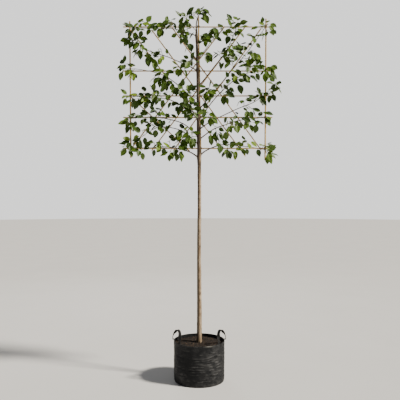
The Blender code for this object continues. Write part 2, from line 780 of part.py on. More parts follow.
def shoot_path(side, height, length, rise_deg):
    """A short straight shoot out of the trunk, turned a little to the front."""
    start = trunk_axis(height)
    rise = math.radians(rise_deg)
    way = Vector((side * math.cos(rise), SHOOT_FORWARD, math.sin(rise))).normalized()
    whole = trunk_radius(height) + length

    def at(share):
        return start + way * (whole * share), SHOOT_RADIUS * (1.0 - SHOOT_TAPER * share)

    return at, whole


def leader_path():
    """The leading shoot, from the trunk's tip up and over to the crown's top."""
    start = trunk_axis(TRUNK_TIP)
    upwards = (start - trunk_axis(TRUNK_TIP - 0.01)).normalized()
    end = start + Vector(LEADER_REACH)
    middle = start + upwards * (0.55 * (end - start).length)
    thick = trunk_radius(TRUNK_TIP)

    def at(share):
        rest = 1.0 - share
        point = start * rest**2 + middle * (2 * rest * share) + end * share**2
        return point, thick + (BOUGH_TIP_RADIUS - thick) * share

    return at, (end - start).length


# ---------------------------------------------------------------- joining a mass


def keep_largest(mesh):
    """Drops loose scraps, sealed hollows and what hangs on by an edge alone, so that one closed
    surface is left."""
    shape = bmesh.new()
    shape.from_mesh(mesh)
    unseen = set(shape.faces)
    groups = []
    while unseen:
        group, queue = set(), [unseen.pop()]
        while queue:
            face = queue.pop()
            group.add(face)
            sides = [edge.link_faces for edge in face.edges if len(edge.link_faces) == 2]
            found = {other for side in sides for other in side} & unseen
            unseen -= found
            queue += found
        groups.append(group)
    largest = max(groups, key=len)
    scraps = [face for group in groups if group is not largest for face in group]
    bmesh.ops.delete(shape, geom=scraps, context="FACES")
    bmesh.ops.triangulate(shape, faces=shape.faces)
    shape.to_mesh(mesh)
    shape.free()


def join_mass(node, stem_mesh, pieces, cutter, collection, surface):
    """Fuses spurs and leaves onto the stem by one Boolean union, and keeps the result."""
    stem = bpy.data.objects.new(node + "_stem", stem_mesh)
    bpy.context.scene.collection.objects.link(stem)
    if cutter:
        trim = stem.modifiers.new("trimmed_at_trunk", "BOOLEAN")
        trim.operation = "DIFFERENCE"
        trim.object = cutter
    group = new_collection(node + "_pieces")
    for number, (points, faces) in enumerate(pieces):
        mesh = bpy.data.meshes.new(f"{node}_{number}")
        mesh.from_pydata(points, [], faces)
        group.objects.link(bpy.data.objects.new(mesh.name, mesh))
    union = stem.modifiers.new("grown_together", "BOOLEAN")
    union.operation = "UNION"
    union.operand_type = "COLLECTION"
    union.collection = group
    mesh = evaluated_mesh(stem)
    keep_largest(mesh)
    mesh.name = node
    for obj in [stem, *group.objects]:
        bpy.data.objects.remove(obj)
    bpy.data.collections.remove(group)
    return place(bpy.data.objects.new(node, mesh), collection, surface)


def arrays_of(mesh):
    points = [vert.co.copy() for vert in mesh.vertices]
    faces = [tuple(face.vertices) for face in mesh.polygons]
    return points, faces


def plan_mass(node, path, side, leafy_from, places, trimmed):
    """What a mass grows on: its stem, as a mesh and as a row of points, and where it is leafy."""
    at, length = path
    first = leafy_from + (0.0 if trimmed else STEM_GAP / length)
    count = BOUGH_POINTS if length > LONG_STEM else SHORT_STEM_POINTS
    points, radii = path_rows(at, first, 1.0, count)
    return {
        "node": node,
        "at": at,
        "length": length,
        "side": side,
        "places": places,
        "trimmed": trimmed,
        "stem": tube_mesh(node + "_stem", points, radii, LIMB_SIDES_LEVEL),
        "knots": [at(share)[0] for share in np.linspace(leafy_from, 1.0, STEM_KNOTS + 1)],
    }


def plan_masses():
    plans = []
    for name, values in BOUGHS.items():
        side, leafy_from = values[0], values[-1]
        places = SPRAYS[name]
        plans.append(plan_mass("foliage_" + name, bough_path(name), side, leafy_from, places, False))
    for name, shoot in TRUNK_SHOOTS.items():
        node = "foliage_trunk_" + name
        plans.append(plan_mass(node, shoot_path(*shoot), shoot[0], 0.0, SHOOT_SPRAYS, True))
    plans.append(plan_mass("foliage_leader", leader_path(), 1, 0.0, LEADER_SPRAYS, False))
    return plans


def make_mass(mass, rng, space, cutter, collection, surfaces):
    spurs, leaves = grow_mass(mass, rng, space)
    pieces = [spur_shape(*spur) for spur in spurs]
    pieces += [leaf_shape(leaf) for leaf in leaves]
    trim = cutter if mass["trimmed"] else None
    obj = join_mass(mass["node"], mass["stem"], pieces, trim, collection, surfaces["leaf"])
    space.add(mass["node"], arrays_of(obj.data))


def main():
    clear_scene()
    tree = new_collection("pleached_tree")
    cutters = new_collection("cutters")
    surfaces = make_materials()
    make_bag(tree, surfaces)
    make_root_ball(tree, surfaces)
    for name, feet in HANDLE_FEET_DEG.items():
        make_handle(name, feet, tree, surfaces)
    limbs = [make_trunk(tree, surfaces), *make_frame(tree, surfaces)]
    cutter = make_trunk_cutter(cutters)
    limbs += [make_bough(name, cutter, tree, surfaces) for name in BOUGHS]
    space = Space()
    for limb in limbs:
        space.add(limb.name, arrays_of(evaluated_mesh(limb)))
    plans = plan_masses()
    for mass in plans:
        space.add(mass["node"], arrays_of(mass["stem"]))
    for number, mass in enumerate(plans):
        make_mass(mass, random.Random(SEED + number), space, cutter, tree, surfaces)


main()
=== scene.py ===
"""Looks for a young pleached tree in a fabric grow bag: bark, bamboo canes tied with twine, leaves,
woven bag, webbing handles and compost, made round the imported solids.

Metres, +Z up. The crown spreads along X, and its face looks towards -Y.
"""

import math
import random

import bmesh
import bpy
import numpy as np
from mathutils import Matrix, Vector, noise
from mathutils.bvhtree import BVHTree
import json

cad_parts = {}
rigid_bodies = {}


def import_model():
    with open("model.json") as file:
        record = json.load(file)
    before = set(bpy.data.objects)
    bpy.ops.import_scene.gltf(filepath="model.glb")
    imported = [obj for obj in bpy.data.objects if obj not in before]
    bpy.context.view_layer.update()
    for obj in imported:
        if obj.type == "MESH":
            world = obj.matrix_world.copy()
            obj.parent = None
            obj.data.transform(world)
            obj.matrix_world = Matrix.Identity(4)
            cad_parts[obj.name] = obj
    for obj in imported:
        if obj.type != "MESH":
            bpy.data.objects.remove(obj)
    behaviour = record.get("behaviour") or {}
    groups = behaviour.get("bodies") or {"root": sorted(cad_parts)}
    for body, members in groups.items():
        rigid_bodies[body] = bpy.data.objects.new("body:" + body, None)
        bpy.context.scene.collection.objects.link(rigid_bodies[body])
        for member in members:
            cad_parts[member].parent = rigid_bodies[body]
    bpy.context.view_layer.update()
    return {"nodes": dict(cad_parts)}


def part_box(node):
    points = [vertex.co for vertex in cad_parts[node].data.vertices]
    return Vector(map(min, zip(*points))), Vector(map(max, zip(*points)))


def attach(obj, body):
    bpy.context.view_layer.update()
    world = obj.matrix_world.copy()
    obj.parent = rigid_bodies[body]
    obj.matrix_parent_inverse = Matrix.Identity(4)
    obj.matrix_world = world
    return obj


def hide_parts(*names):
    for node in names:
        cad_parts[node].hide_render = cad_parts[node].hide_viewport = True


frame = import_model()

FRONT_DEG = -90.0  # the face of the crown and of the bag

# ---- bag, compost and handles
_, BAG_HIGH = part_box("grow_bag")
BAG_HEIGHT = BAG_HIGH.z
BAG_RIM_RADIUS = BAG_HIGH.x
BAG_PROFILE = (  # (radius, height) up the outer side of the wall
    (0.2160, 0.0),
    (0.2198, 0.011),
    (0.2214, 0.045),
    (0.2219, 0.200),
    (0.2217, BAG_HEIGHT - 0.004),
)
BAG_WALL = 0.0034
BAG_SIDES = 300
BAG_ROW = 0.0030
HEM_HEIGHT = 0.016
HEM_PROUD = 0.0009
RIM_WAVE = 0.0032
SEAM_DEG = 97.0  # the bag's upright seam, at the back
SEAM_WIDTH = 0.018
SEAM_PROUD = 0.0011
PAINTED_RIM_HIGHLIGHT_DEG = (-68.0, 8.0)  # where a pale painted highlight lies on the rim, and how far each way
PAINTED_SHEEN_DEG = (-58.0, 27.0)  # where a broad painted sheen lies on the wall, and how far each way
CREASE_SEED = 5
CREASE_COUNT = 170
CREASE_LENGTH = (0.020, 0.080)  # half lengths
CREASE_WIDTH = (0.0036, 0.0068)
CREASE_DEPTH = (0.0014, 0.0036)
CREASE_HEIGHT = (0.020, 0.318)
CREASE_TILT = 0.16
CREASE_BOW = (-1.6, 2.4)
POUCH_DEPTH = 0.0016
WRINKLE_DEPTH = 0.00045
SLUMP_DEG = 32.0  # how far round from the front the wall has slumped most
STITCH_LENGTH = 0.0042
STITCH_PITCH = 0.0060
STITCH_RADIUS = 0.00050
SEAM_ROWS = (-0.0055, 0.0055)  # the two rows of stitches down the seam
BOX_HALF = 0.0105  # half the width of the stitched box under a handle's foot
BOX_DEPTHS = (0.026, 0.004)  # its lower and upper edges, below the hem
HEM_ROWS = (0.0034, 0.0072)  # the two rows of stitches above the hem's lower edge
STITCH_PROUD = 0.0002
UNDERSIDE_SHARES = (0.02, 0.35, 0.7, 0.92)  # of the bag's radius, for the rings across its underside
INNER_HEIGHTS = (0.345, 0.338, 0.333, 0.328, 0.310, 0.28, 0.16, 0.05, 0.016)

SOIL_TOP = 0.326
SOIL_EDGE = 0.318
SOIL_FLAT_RADIUS = 0.060
SOIL_DEPTH = 0.040  # how deep the dressed compost reaches; below it the bag hides everything
SOIL_RADIUS = 0.2176
SOIL_ROWS = 64
SOIL_SIDES = 180
SOIL_SWELLS = (0.0032, 0.0042, 0.0012)  # heights of its mounds, clods and crumbs
LUMP_KINDS = 8
STREWN = {  # lumps: how many a square metre, smallest and largest size, seed, finish
    "compost_clods": (15000.0, 0.0016, 0.0048, 3, "crumb"),
    "compost_chips": (2600.0, 0.0028, 0.0078, 8, "chip"),
    "compost_fines": (9000.0, 0.0012, 0.0028, 21, "soil"),
}

STRAP_WIDTH = 0.028
STRAP_THICKNESS = 0.0022
STRAP_RISE = 0.110
STRAP_RADIUS = 0.2160
STRAP_STEPS = 120
STRAP_LEG_SHARE = 0.10
STRAP_TURN_LIFT = (0.26, 0.74)
STRAP_ARCH = (
    (0.00, 0.00, 0.00, 0.0000),
    (0.10, 0.00, 0.16, -0.0020),
    (0.22, 0.01, 0.44, -0.0060),
    (0.34, 0.05, 0.76, -0.0095),
    (0.42, 0.15, 0.94, -0.0095),
    (0.50, 0.35, 1.00, -0.0060),
    (0.60, 0.56, 0.76, 0.0010),
    (0.70, 0.74, 0.50, 0.0090),
    (0.79, 0.90, 0.25, 0.0155),
    (0.85, 1.00, 0.10, 0.0185),
    (0.90, 1.00, 0.050, 0.0165),
    (0.96, 1.00, 0.045, 0.0000),
    (1.00, 1.00, 0.000, 0.0000),
)
STRAP_EASE = 0.03
STRAP_LOOK = 0.008  # how far ahead and behind its direction is taken
STRAP_BEAD = (0.35, 0.90, 0.06)  # the beaded edges' height, place and width
HANDLE_FEET_DEG = {"handle_left": (219.0, 183.0), "handle_right": (-39.0, -3.0)}

# ---- trunk
GAP = 0.0003
FORK_HEIGHT = 1.935
TRUNK_TIP = 3.090
TRUNK_X = 0.0003
TRUNK_LEAN = 0.0215
TRUNK_SWAY = 0.0016
TRUNK_HEIGHTS = (
    SOIL_TOP, 0.36, 0.45, 0.72, 1.10, 1.60, 1.87, FORK_HEIGHT, 2.04, 2.40, 2.80, 2.93, 2.99, TRUNK_TIP
)
TRUNK_RADII = (
    0.0245, 0.0228, 0.0217, 0.0202, 0.0174, 0.0162, 0.0164, 0.0195, 0.0162, 0.0140, 0.0112, 0.0098,
    0.0122, 0.0056
)
TRUNK_ROW = 0.0036
TRUNK_SIDES = 44
TRUNK_SUNK = 0.012  # how far the bark reaches into the compost
TRUNK_SEED = 11
KNOTS = 15  # healed pruning knots on the clear stem
KNOT_HEIGHTS = (0.44, 1.90)
KNOT_SIZE = (0.0065, 0.0105)
KNOT_SWELL = (0.0014, 0.0026)
KNOT_DIMPLE = 0.0016
FLARE_SWELL = 0.0032
FLARE_HEIGHT = 0.018
RIPPLES = ((0.0006, (70.0, 70.0, 9.0), 3), (0.00035, (190.0, 190.0, 60.0), 2))  # depth, scale, octaves
CROWN_PAINTED_SHADE = 0.72  # how dark the bark is made: as painted shade inside the crown under the leaves, at its foot, and as painted shade on the side away from the main light
FOOT_DARK = 0.55
SIDE_PAINTED_SHADE = 0.90
PAINTED_SHADE_SIDE = (-0.95, -0.31, 0.0)  # the side, away from the main light, where the bark carries painted shade
COLLAR_SWELL = 0.0030
COLLAR_SPREAD = 0.015

# ---- boughs: side, height and angle where it forks, reach, height and angle at its end, how hard
# each end's direction is held, radius at the fork, and the share of its length where its leafy part
# begins
BOUGHS = {
    "left_1": (-1, 1.935, 42, 0.645, 2.040, 6, 0.34, 0.45, 0.0062, 0.17),
    "left_2": (-1, 2.052, 46, 0.535, 2.100, -42, 0.48, 0.50, 0.0048, 0.13),
    "left_3": (-1, 2.118, 52, 0.622, 2.285, -6, 0.38, 0.42, 0.0052, 0.15),
    "left_4": (-1, 2.272, 50, 0.638, 2.482, 2, 0.42, 0.42, 0.0050, 0.12),
    "left_5": (-1, 2.398, 52, 0.668, 2.722, -4, 0.36, 0.42, 0.0048, 0.18),
    "left_6": (-1, 2.701, 34, 0.616, 2.985, 38, 0.34, 0.36, 0.0048, 0.10),
    "left_7": (-1, 2.790, 58, 0.245, 3.135, 66, 0.34, 0.34, 0.0036, 0.22),
    "left_8": (-1, 3.008, 26, 0.600, 3.078, 0, 0.34, 0.40, 0.0042, 0.10),
    "right_1": (1, 1.950, 52, 0.605, 2.006, -12, 0.30, 0.46, 0.0060, 0.17),
    "right_2": (1, 2.097, 40, 0.585, 2.300, 8, 0.40, 0.44, 0.0052, 0.12),
    "right_3": (1, 2.182, 40, 0.672, 2.598, 52, 0.40, 0.40, 0.0050, 0.22),
    "right_4": (1, 2.262, 55, 0.630, 2.735, 8, 0.42, 0.42, 0.0050, 0.34),
    "right_5": (1, 2.355, 50, 0.602, 3.118, 55, 0.36, 0.38, 0.0050, 0.24),
    "right_6": (1, 2.561, 51, 0.340, 3.130, 76, 0.36, 0.36, 0.0044, 0.30),
    "right_7": (1, 2.790, 56, 0.205, 3.062, 42, 0.36, 0.36, 0.0036, 0.17),
}
# where each bough bears its sprays, as (share of its length, way in which the spur points): the way
# is in degrees, 0 outwards from the trunk, 90 up, -90 down
SPRAYS = {
    "left_1": (
        (0.29, -20), (0.33, 80), (0.43, -60), (0.47, 90), (0.57, 70), (0.67, 80), (0.81, -50), (0.94, 90),
        (0.97, -70)
    ),
    "left_2": ((0.15, -55), (0.21, 30), (0.64, -45), (0.74, 60), (0.93, 90)),
    "left_3": ((0.46, -55), (0.52, 85), (0.57, -30), (0.63, 60), (0.76, -30), (0.87, 20), (0.97, -70)),
    "left_4": (
        (0.15, 90), (0.30, -35), (0.45, 90), (0.57, 50), (0.66, 80), (0.69, -35), (0.79, 90), (0.83, -40),
        (0.92, -60)
    ),
    "left_5": ((0.24, 40), (0.47, -45), (0.51, 65), (0.58, -45), (0.88, -40), (0.96, -90), (0.98, 70)),
    "left_6": (
        (0.13, 90), (0.20, -45), (0.49, -45), (0.51, 70), (0.58, -40), (0.73, -80), (0.78, 60), (0.82, -85),
        (0.86, 80), (0.93, 60)
    ),
    "left_7": ((0.46, 175), (0.66, 175)),
    "left_8": ((0.13, 60), (0.46, 80), (0.53, -20), (0.66, 90), (0.77, 60), (0.86, 40), (0.89, -40)),
    "right_1": ((0.36, 70), (0.50, -80), (0.61, -50), (0.77, 90), (0.85, 70), (0.93, 60), (0.96, -60)),
    "right_2": (
        (0.16, -50), (0.27, -75), (0.40, -60), (0.51, -50), (0.60, -75), (0.63, 50), (0.78, -65), (0.86, -50),
        (0.95, 75)
    ),
    "right_3": ((0.56, 90), (0.60, -40), (0.63, 80), (0.70, 60), (0.78, 90), (0.87, -30), (0.93, 40)),
    "right_4": (
        (0.37, -30), (0.40, 110), (0.47, 60), (0.56, -5), (0.63, 85), (0.71, -20), (0.79, 90), (0.85, 75),
        (0.92, -30), (0.97, -90)
    ),
    "right_5": (
        (0.50, 110), (0.60, 110), (0.63, -10), (0.73, -25), (0.75, 150), (0.83, 140), (0.94, 130), (0.96, -60)
    ),
    "right_6": (
        (0.44, 60), (0.50, -20), (0.55, 150), (0.58, 30), (0.70, 0), (0.80, 140), (0.89, 160), (0.91, -20),
        (0.97, 165), (0.98, -15)
    ),
    "right_7": ((0.22, -40), (0.68, 130), (0.90, 130)),
}
BOUGH_FORWARD = {"left_7": -0.026}
BOUGH_SWAY = 0.004
BOUGH_TIP_RADIUS = 0.0019
BOUGH_TIE_RADIUS = 0.0026
BOUGH_POINTS = 8
LIMB_SIDES_LEVEL = 1
STEM_GAP = 1.4 * GAP
END_SHARE = 0.012
UPRIGHT_RADIUS = 0.0075
BOUGH_ROW = 0.0048
BOUGH_SIDES = 12
BOUGH_SEED = 300
BUD_STEP = (0.022, 0.036)
BUD_RING = (0.10, 0.0042)  # how much a bud's ring swells a bough, and how wide it is
SPUR_RING = (0.28, 0.0085)  # the same where a spur springs
SPUR_SEED = 700
SPUR_NECK = 0.0021
SPUR_HEAD = 0.0027
SPUR_BOW = 0.0018
SPUR_SIDES = 6
BUD_LENGTH = (0.0050, 0.0075)
BUD_RADIUS = 0.00165
BUD_FORM = (0.6, 1.0, 0.95, 0.6, 0.12)  # shares of its radius from its foot to its point

# ---- short shoots on the trunk (side, height, length, rise in degrees), and the leader
TRUNK_SHOOTS = {
    "left_low": (-1, 2.130, 0.060, -10),
    "left_inner": (-1, 2.318, 0.060, 20),
    "left_middle": (-1, 2.455, 0.090, 20),
    "left_high": (-1, 2.745, 0.070, 30),
    "left_top": (-1, 3.050, 0.150, 42),
    "right_low": (1, 2.300, 0.095, -5),
    "right_middle": (1, 2.470, 0.105, 25),
    "right_high": (1, 2.945, 0.080, 35),
}
SHOOT_RADIUS = 0.0030
SHOOT_FORWARD = -0.60
SHOOT_TAPER = 0.35
SHOOT_BARE_SHARE = 0.55
SHOOT_SPRAYS = ((0.72, 60),)
LEADER_SPRAYS = ((0.45, 150), (0.75, 0))
LEADER_REACH = (0.060, -0.012, 0.145)

# ---- the growth rule
SPUR_LENGTH = (0.026, 0.056)
SPUR_RADIUS = 0.0029
SPUR_ROOT_SHARE = 0.55
SPUR_FORWARD = (-0.80, -0.15)
LEAVES_IN_SPRAY = (1, 3)
LEAVES_AT_TIP = 4
GOLDEN_DEG = 137.5
STALK_LENGTH = (0.018, 0.030)
STALK_RADIUS = 0.0010
STALK_SUNK = 0.0026
STALK_STEP = 0.0034
SCATTER_DEG = 18.0  # how far a leaf may stand off its place round the spur
ROLL_DEG = 28.0
BLADE_LENGTH = (0.064, 0.090)
BLADE_SHARE = 0.62
BLADE_WIDEST = 0.42
BLADE_KEEL = 0.035
BLADE_CURL = 0.08
FACING = Vector((0.0, -0.95, 0.45))
SIDE_WISH = Vector((0.3, -0.6, 0.7))  # the side of a spur that its leaves are counted from
DROOP = (0.10, 1.20)
TIP_LEAF_SCALE = 0.88
SPACE_REACH = 0.175
CROWN_SIDE = 0.734
CROWN_TOP = 3.262
CROWN_DEPTH = 0.150
LEAF_TRIES_DEG = (0.0, 38.0, -38.0, 80.0)
TEST_MARGIN = 0.0010
STEM_KNOTS = 12
LONG_STEM = 0.3
SHORT_STEM_POINTS = 5
SEED = 41

# ---- what grows finer than the solids do
FINE_SEED = 173
TWIG_PULL = Vector((0.0, -0.15, 0.11))
TWIGS_ON_SPUR = (1, 2)
TWIG_LENGTH = (0.018, 0.036)
TWIG_RADIUS = 0.0013
TWIG_PLACE = (0.45, 0.85)  # shares of the spur's length
TWIG_LEAVES = (2, 3)
TWIG_LEAF_SCALE = (0.72, 0.96)
STEM_LEAF_SPACING = 0.036
STEM_LEAF_SCALE = (0.70, 0.96)
STEM_LEAF_REACH = 0.045  # how far along the stem from the nearest spray
SHOOT_TWIGS = 4  # further side twigs on each short shoot of the trunk
LEAF_SEED = 90
LEAF_KINDS = 7
LEAF_ROWS = (0.07, 0.22, 0.42, 0.64, 0.84)  # shares of a blade's length
LEAF_COLUMNS = (-1.0, -0.5, 0.0, 0.5, 1.0)  # shares of its half width
UPPER_FACES = 24
TONES = ("deep", "middle", "light", "young")
TONE_WEIGHTS = (0.27, 0.42, 0.26, 0.05)

# ---- studio: the main light's turn from the front, its height and its softness, and the camera,
# the floor and the other lights
KEY_ROUND_DEG = 70.0
KEY_UP_DEG = 45.0
KEY_SOFT_DEG = 7.0
CAMERA_PLACE = (0.007, -4.53, 1.571)
CAMERA_LENS = 46.5
FLOOR_RADIUS = 40.0
WORLD_LIGHT = ((0.90, 0.93, 1.0), 0.13)  # colour and strength of the even light
WORLD_SEEN = ((0.90, 0.90, 0.89), 1.5)  # the same for what the camera sees behind the tree
KEY_POWER = 5.6
KEY_COLOUR = (1.0, 0.94, 0.84)
SOFT_LIGHTS = {  # place, what it is aimed at, size, power, colour
    "fill": ((-4.5, -4.2, 2.6), (0.0, 0.0, 1.4), 3.0, 9.0, (0.92, 0.96, 1.0)),
    "back": ((-1.5, 4.8, 4.6), (0.0, 0.0, 1.8), 2.4, 60.0, (1.0, 0.98, 0.95)),
}

# ---- canes
CANE_SIDES = 18
CANE_NODE_STEP = (0.125, 0.205)
CANE_RING_SWELL = 0.10
CANE_RING_WIDTH = 0.0034
CANE_RING_GROOVE = (0.085, 0.0008)  # its depth as a share of the radius, and its width
CANE_STAIN_WIDTH = 0.0016
CANE_BLOOM = (0.012, 0.008)  # how far below a ring the pale bloom lies, and how wide it is
CANE_SLIM = 0.94  # radius between the rings, as a share of the solid's
CANE_MOUTH = 0.52  # the hollow's radius, as a share of the cane's
CANE_BOW = 0.0012
CANE_SEED = 500
CANE_ROW = 0.016
CANE_HOLLOW = 0.008  # how deep the cut ends are hollow
CANE_RING_ROWS = (-0.007, -0.004, -0.002, -0.0008, 0.0, 0.0008, 0.002, 0.004, 0.007)
TWINE_RADIUS = 0.0011
TIE_TURNS = 3
BRACE_TIE_TURNS = 2

# ---- finishes
BARKS = {  # main, dark and pale colours, how fine its grain is, how deep its relief
    "trunk": ((0.340, 0.232, 0.134), (0.048, 0.031, 0.018), (0.590, 0.445, 0.290), 1.0, 0.0013),
    "bough": ((0.090, 0.060, 0.038), (0.022, 0.015, 0.010), (0.190, 0.140, 0.095), 1.7, 0.0007),
    "twig": ((0.135, 0.110, 0.055), (0.050, 0.034, 0.022), (0.240, 0.200, 0.110), 2.2, 0.0004),
}
FABRICS = {  # material, thread width, main colour, and the worn colour, which also serves as painted sheen
    "bag": ("bag_fabric_woven", 0.0021, (0.0105, 0.0112, 0.0124), (0.0740, 0.0735, 0.0730)),
    "webbing": ("webbing_woven", 0.0013, (0.0120, 0.0122, 0.0128), (0.0900, 0.0800, 0.0700)),
}
# the pale colour of the painted highlight on the bag's rim
RIM_HIGHLIGHT_COLOUR = (0.230, 0.220, 0.195)
SOILS = {  # material, dark, brown and pale colours
    "soil": ("compost_crumb", (0.0060, 0.0040, 0.0028), (0.019, 0.0115, 0.0070), (0.190, 0.120, 0.070)),
    "crumb": ("compost_clod", (0.0090, 0.0060, 0.0040), (0.032, 0.019, 0.012), (0.190, 0.125, 0.075)),
    "chip": ("bark_chip", (0.110, 0.066, 0.036), (0.240, 0.155, 0.090), (0.380, 0.270, 0.165)),
}
GREENS = {  # a leaf's main colour, and the deeper one of its mottling
    "deep": ((0.038, 0.080, 0.0085), (0.025, 0.055, 0.0055)),
    "middle": ((0.064, 0.120, 0.0120), (0.042, 0.084, 0.0080)),
    "light": ((0.112, 0.190, 0.0190), (0.074, 0.134, 0.0130)),
    "young": ((0.215, 0.320, 0.0300), (0.155, 0.250, 0.0200)),
}
VEIN_PALE = (0.26, 0.32, 0.05)
UNDER_PALE = (0.20, 0.25, 0.06)


# ---------------------------------------------------------------- shapes


def unit(rows):
    rows = np.asarray(rows, float)
    return rows / np.maximum(np.linalg.norm(rows, axis=-1, keepdims=True), 1e-12)


def field(points, scale, octaves):
    """Smooth noise, about -1 to 1, at these points; scale is one number or one for each axis."""
    rows = (np.asarray(points, float) * scale).reshape(-1, 3)
    values = [noise.fractal(row, 1.0, 2.0, octaves) for row in rows]
    return np.array(values).reshape(np.shape(points)[:-1])


def hill(off, width):
    """A smooth rise, 1 high where off is 0 and about this wide to each side."""
    return np.exp(-((off / width) ** 2))


def round_turn(steps):
    return np.arange(steps) * math.tau / steps


def carried_sides(centres):
    """Two directions square to a path at each of its points, carried along it without twisting."""
    ways = unit(np.gradient(centres, axis=0))
    start = (0.0, 1.0, 0.0) if abs(ways[0][1]) < 0.9 else (1.0, 0.0, 0.0)
    side, sides = np.array(start), []
    for way in ways:
        side = unit(side - way * side.dot(way))
        sides.append(side)
    sides = np.array(sides)
    return sides, np.cross(ways, sides)


def ways_round(centres, steps):
    """Unit vectors square to a path, set round each of its points."""
    across, up = carried_sides(centres)
    turn = round_turn(steps)[:, None]
    return across[:, None] * np.cos(turn) + up[:, None] * np.sin(turn)


def tube_rings(centres, radii, steps):
    """Rings round a path; radii holds one number for each point, or one for each point and step."""
    centres, radii = np.asarray(centres, float), np.asarray(radii, float)
    if radii.ndim == 1:
        radii = np.repeat(radii[:, None], steps, axis=1)
    return centres[:, None] + ways_round(centres, steps) * radii[:, :, None]


def travelled(centres):
    steps = np.linalg.norm(np.diff(centres, axis=0), axis=1)
    return np.concatenate(([0.0], np.cumsum(steps)))


class Skin:
    """Gathers lofted shapes into one mesh, with a UV map (share round, metres along) and a mark
    of three numbers at each point."""

    def __init__(self):
        self.points, self.marks, self.faces, self.uvs = [], [], [], []
        self.total = 0

    def loft(self, rings, along=None, mark=(0.0, 0.0, 0.0)):
        """A closed skin over rings that run anticlockwise as seen from the last of them."""
        rows, steps = rings.shape[:2]
        if along is None:
            along = travelled(rings.mean(axis=1))
        first = self.total
        ends = rings[[0, -1]].mean(axis=1)
        self.points.append(np.concatenate((rings.reshape(-1, 3), ends)))
        marks = np.broadcast_to(np.asarray(mark, float), (rows, steps, 3))
        end_marks = marks[[0, -1]].mean(axis=1)
        self.marks.append(np.concatenate((marks.reshape(-1, 3), end_marks)))
        low, high = first + rows * steps, first + rows * steps + 1
        last = low - steps
        for s in range(steps):
            t = (s + 1) % steps
            self.faces.append((low, first + t, first + s))
            self.uvs += [(0.5, along[0]), ((s + 1) / steps, along[0]), (s / steps, along[0])]
            self.faces.append((high, last + s, last + t))
            self.uvs += [(0.5, along[-1]), (s / steps, along[-1]), ((s + 1) / steps, along[-1])]
        for r in range(rows - 1):
            here, there = first + r * steps, first + (r + 1) * steps
            for s in range(steps):
                t = (s + 1) % steps
                self.faces.append((here + s, here + t, there + t, there + s))
                left, right = s / steps, (s + 1) / steps
                a, b = along[r], along[r + 1]
                self.uvs += [(left, a), (right, a), (right, b), (left, b)]
        self.total += rows * steps + 2

    def tube(self, centres, radii, steps, mark=(0.0, 0.0, 0.0)):
        self.loft(tube_rings(centres, radii, steps), travelled(np.asarray(centres)), mark)

    def mesh(self, name, sharp_deg=55.0):
        mesh = bpy.data.meshes.new(name)
        mesh.from_pydata(np.concatenate(self.points).tolist(), [], self.faces)
        layer = mesh.uv_layers.new(name="UVMap")
        layer.data.foreach_set("uv", np.array(self.uvs, np.float32).ravel())
        marks = mesh.attributes.new("mark", "FLOAT_VECTOR", "POINT")
        marks.data.foreach_set("vector", np.concatenate(self.marks).astype(np.float32).ravel())
        mesh.shade_smooth()
        mesh.set_sharp_from_angle(angle=math.radians(sharp_deg))
        return mesh


def widen_uv(mesh, metres):
    """Turns the UV map's share round into metres, where once round is this long."""
    layer = mesh.uv_layers["UVMap"].data
    uvs = np.zeros(len(layer) * 2, np.float32)
    layer.foreach_get("uv", uvs)
    uvs[0::2] *= metres
    layer.foreach_set("uv", uvs)


def add_object(name, data):
    made = bpy.data.objects.new(name, data)
    bpy.context.scene.collection.objects.link(made)
    return made


def settled_mesh(source):
    """The plain mesh that an object comes to, with the object itself removed."""
    bpy.context.view_layer.update()
    graph = bpy.context.evaluated_depsgraph_get()
    mesh = bpy.data.meshes.new_from_object(source.evaluated_get(graph))
    bpy.data.objects.remove(source)
    return mesh


def mesh_from(shape, name):
    """The mesh of a bmesh, which is freed."""
    mesh = bpy.data.meshes.new(name)
    shape.to_mesh(mesh)
    shape.free()
    return mesh


def dress(name, mesh, finish, nodes):
    """One finished piece, which rides with the tree and stands for these nodes."""
    made = add_object(name, mesh)
    if finish:
        mesh.materials.clear()
        mesh.materials.append(finish)
    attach(made, "root")
    if nodes:
        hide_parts(*nodes)
    return made


def nodes_named(start):
    return sorted(name for name in frame["nodes"] if name.startswith(start))


# ---------------------------------------------------------------- geometry node trees


class Nodes:
    """Adds nodes to a tree, and joins them."""

    def __init__(self, tree):
        self.tree = tree

    def put(self, socket, value):
        if isinstance(value, bpy.types.NodeSocket):
            self.tree.links.new(value, socket)
        elif socket.type == "RGBA" and len(value) == 3:
            socket.default_value = (*value, 1.0)
        else:
            socket.default_value = value

    def add(self, kind, settings=None, inputs=None):
        made = self.tree.nodes.new(kind)
        for key, value in (settings or {}).items():
            setattr(made, key, value)
        for key, value in (inputs or {}).items():
            self.put(made.inputs[key], value)
        return made

    def maths(self, operation, *values):
        made = self.add("ShaderNodeMath", {"operation": operation})
        for socket, value in zip(made.inputs, values):
            self.put(socket, value)
        return made.outputs[0]


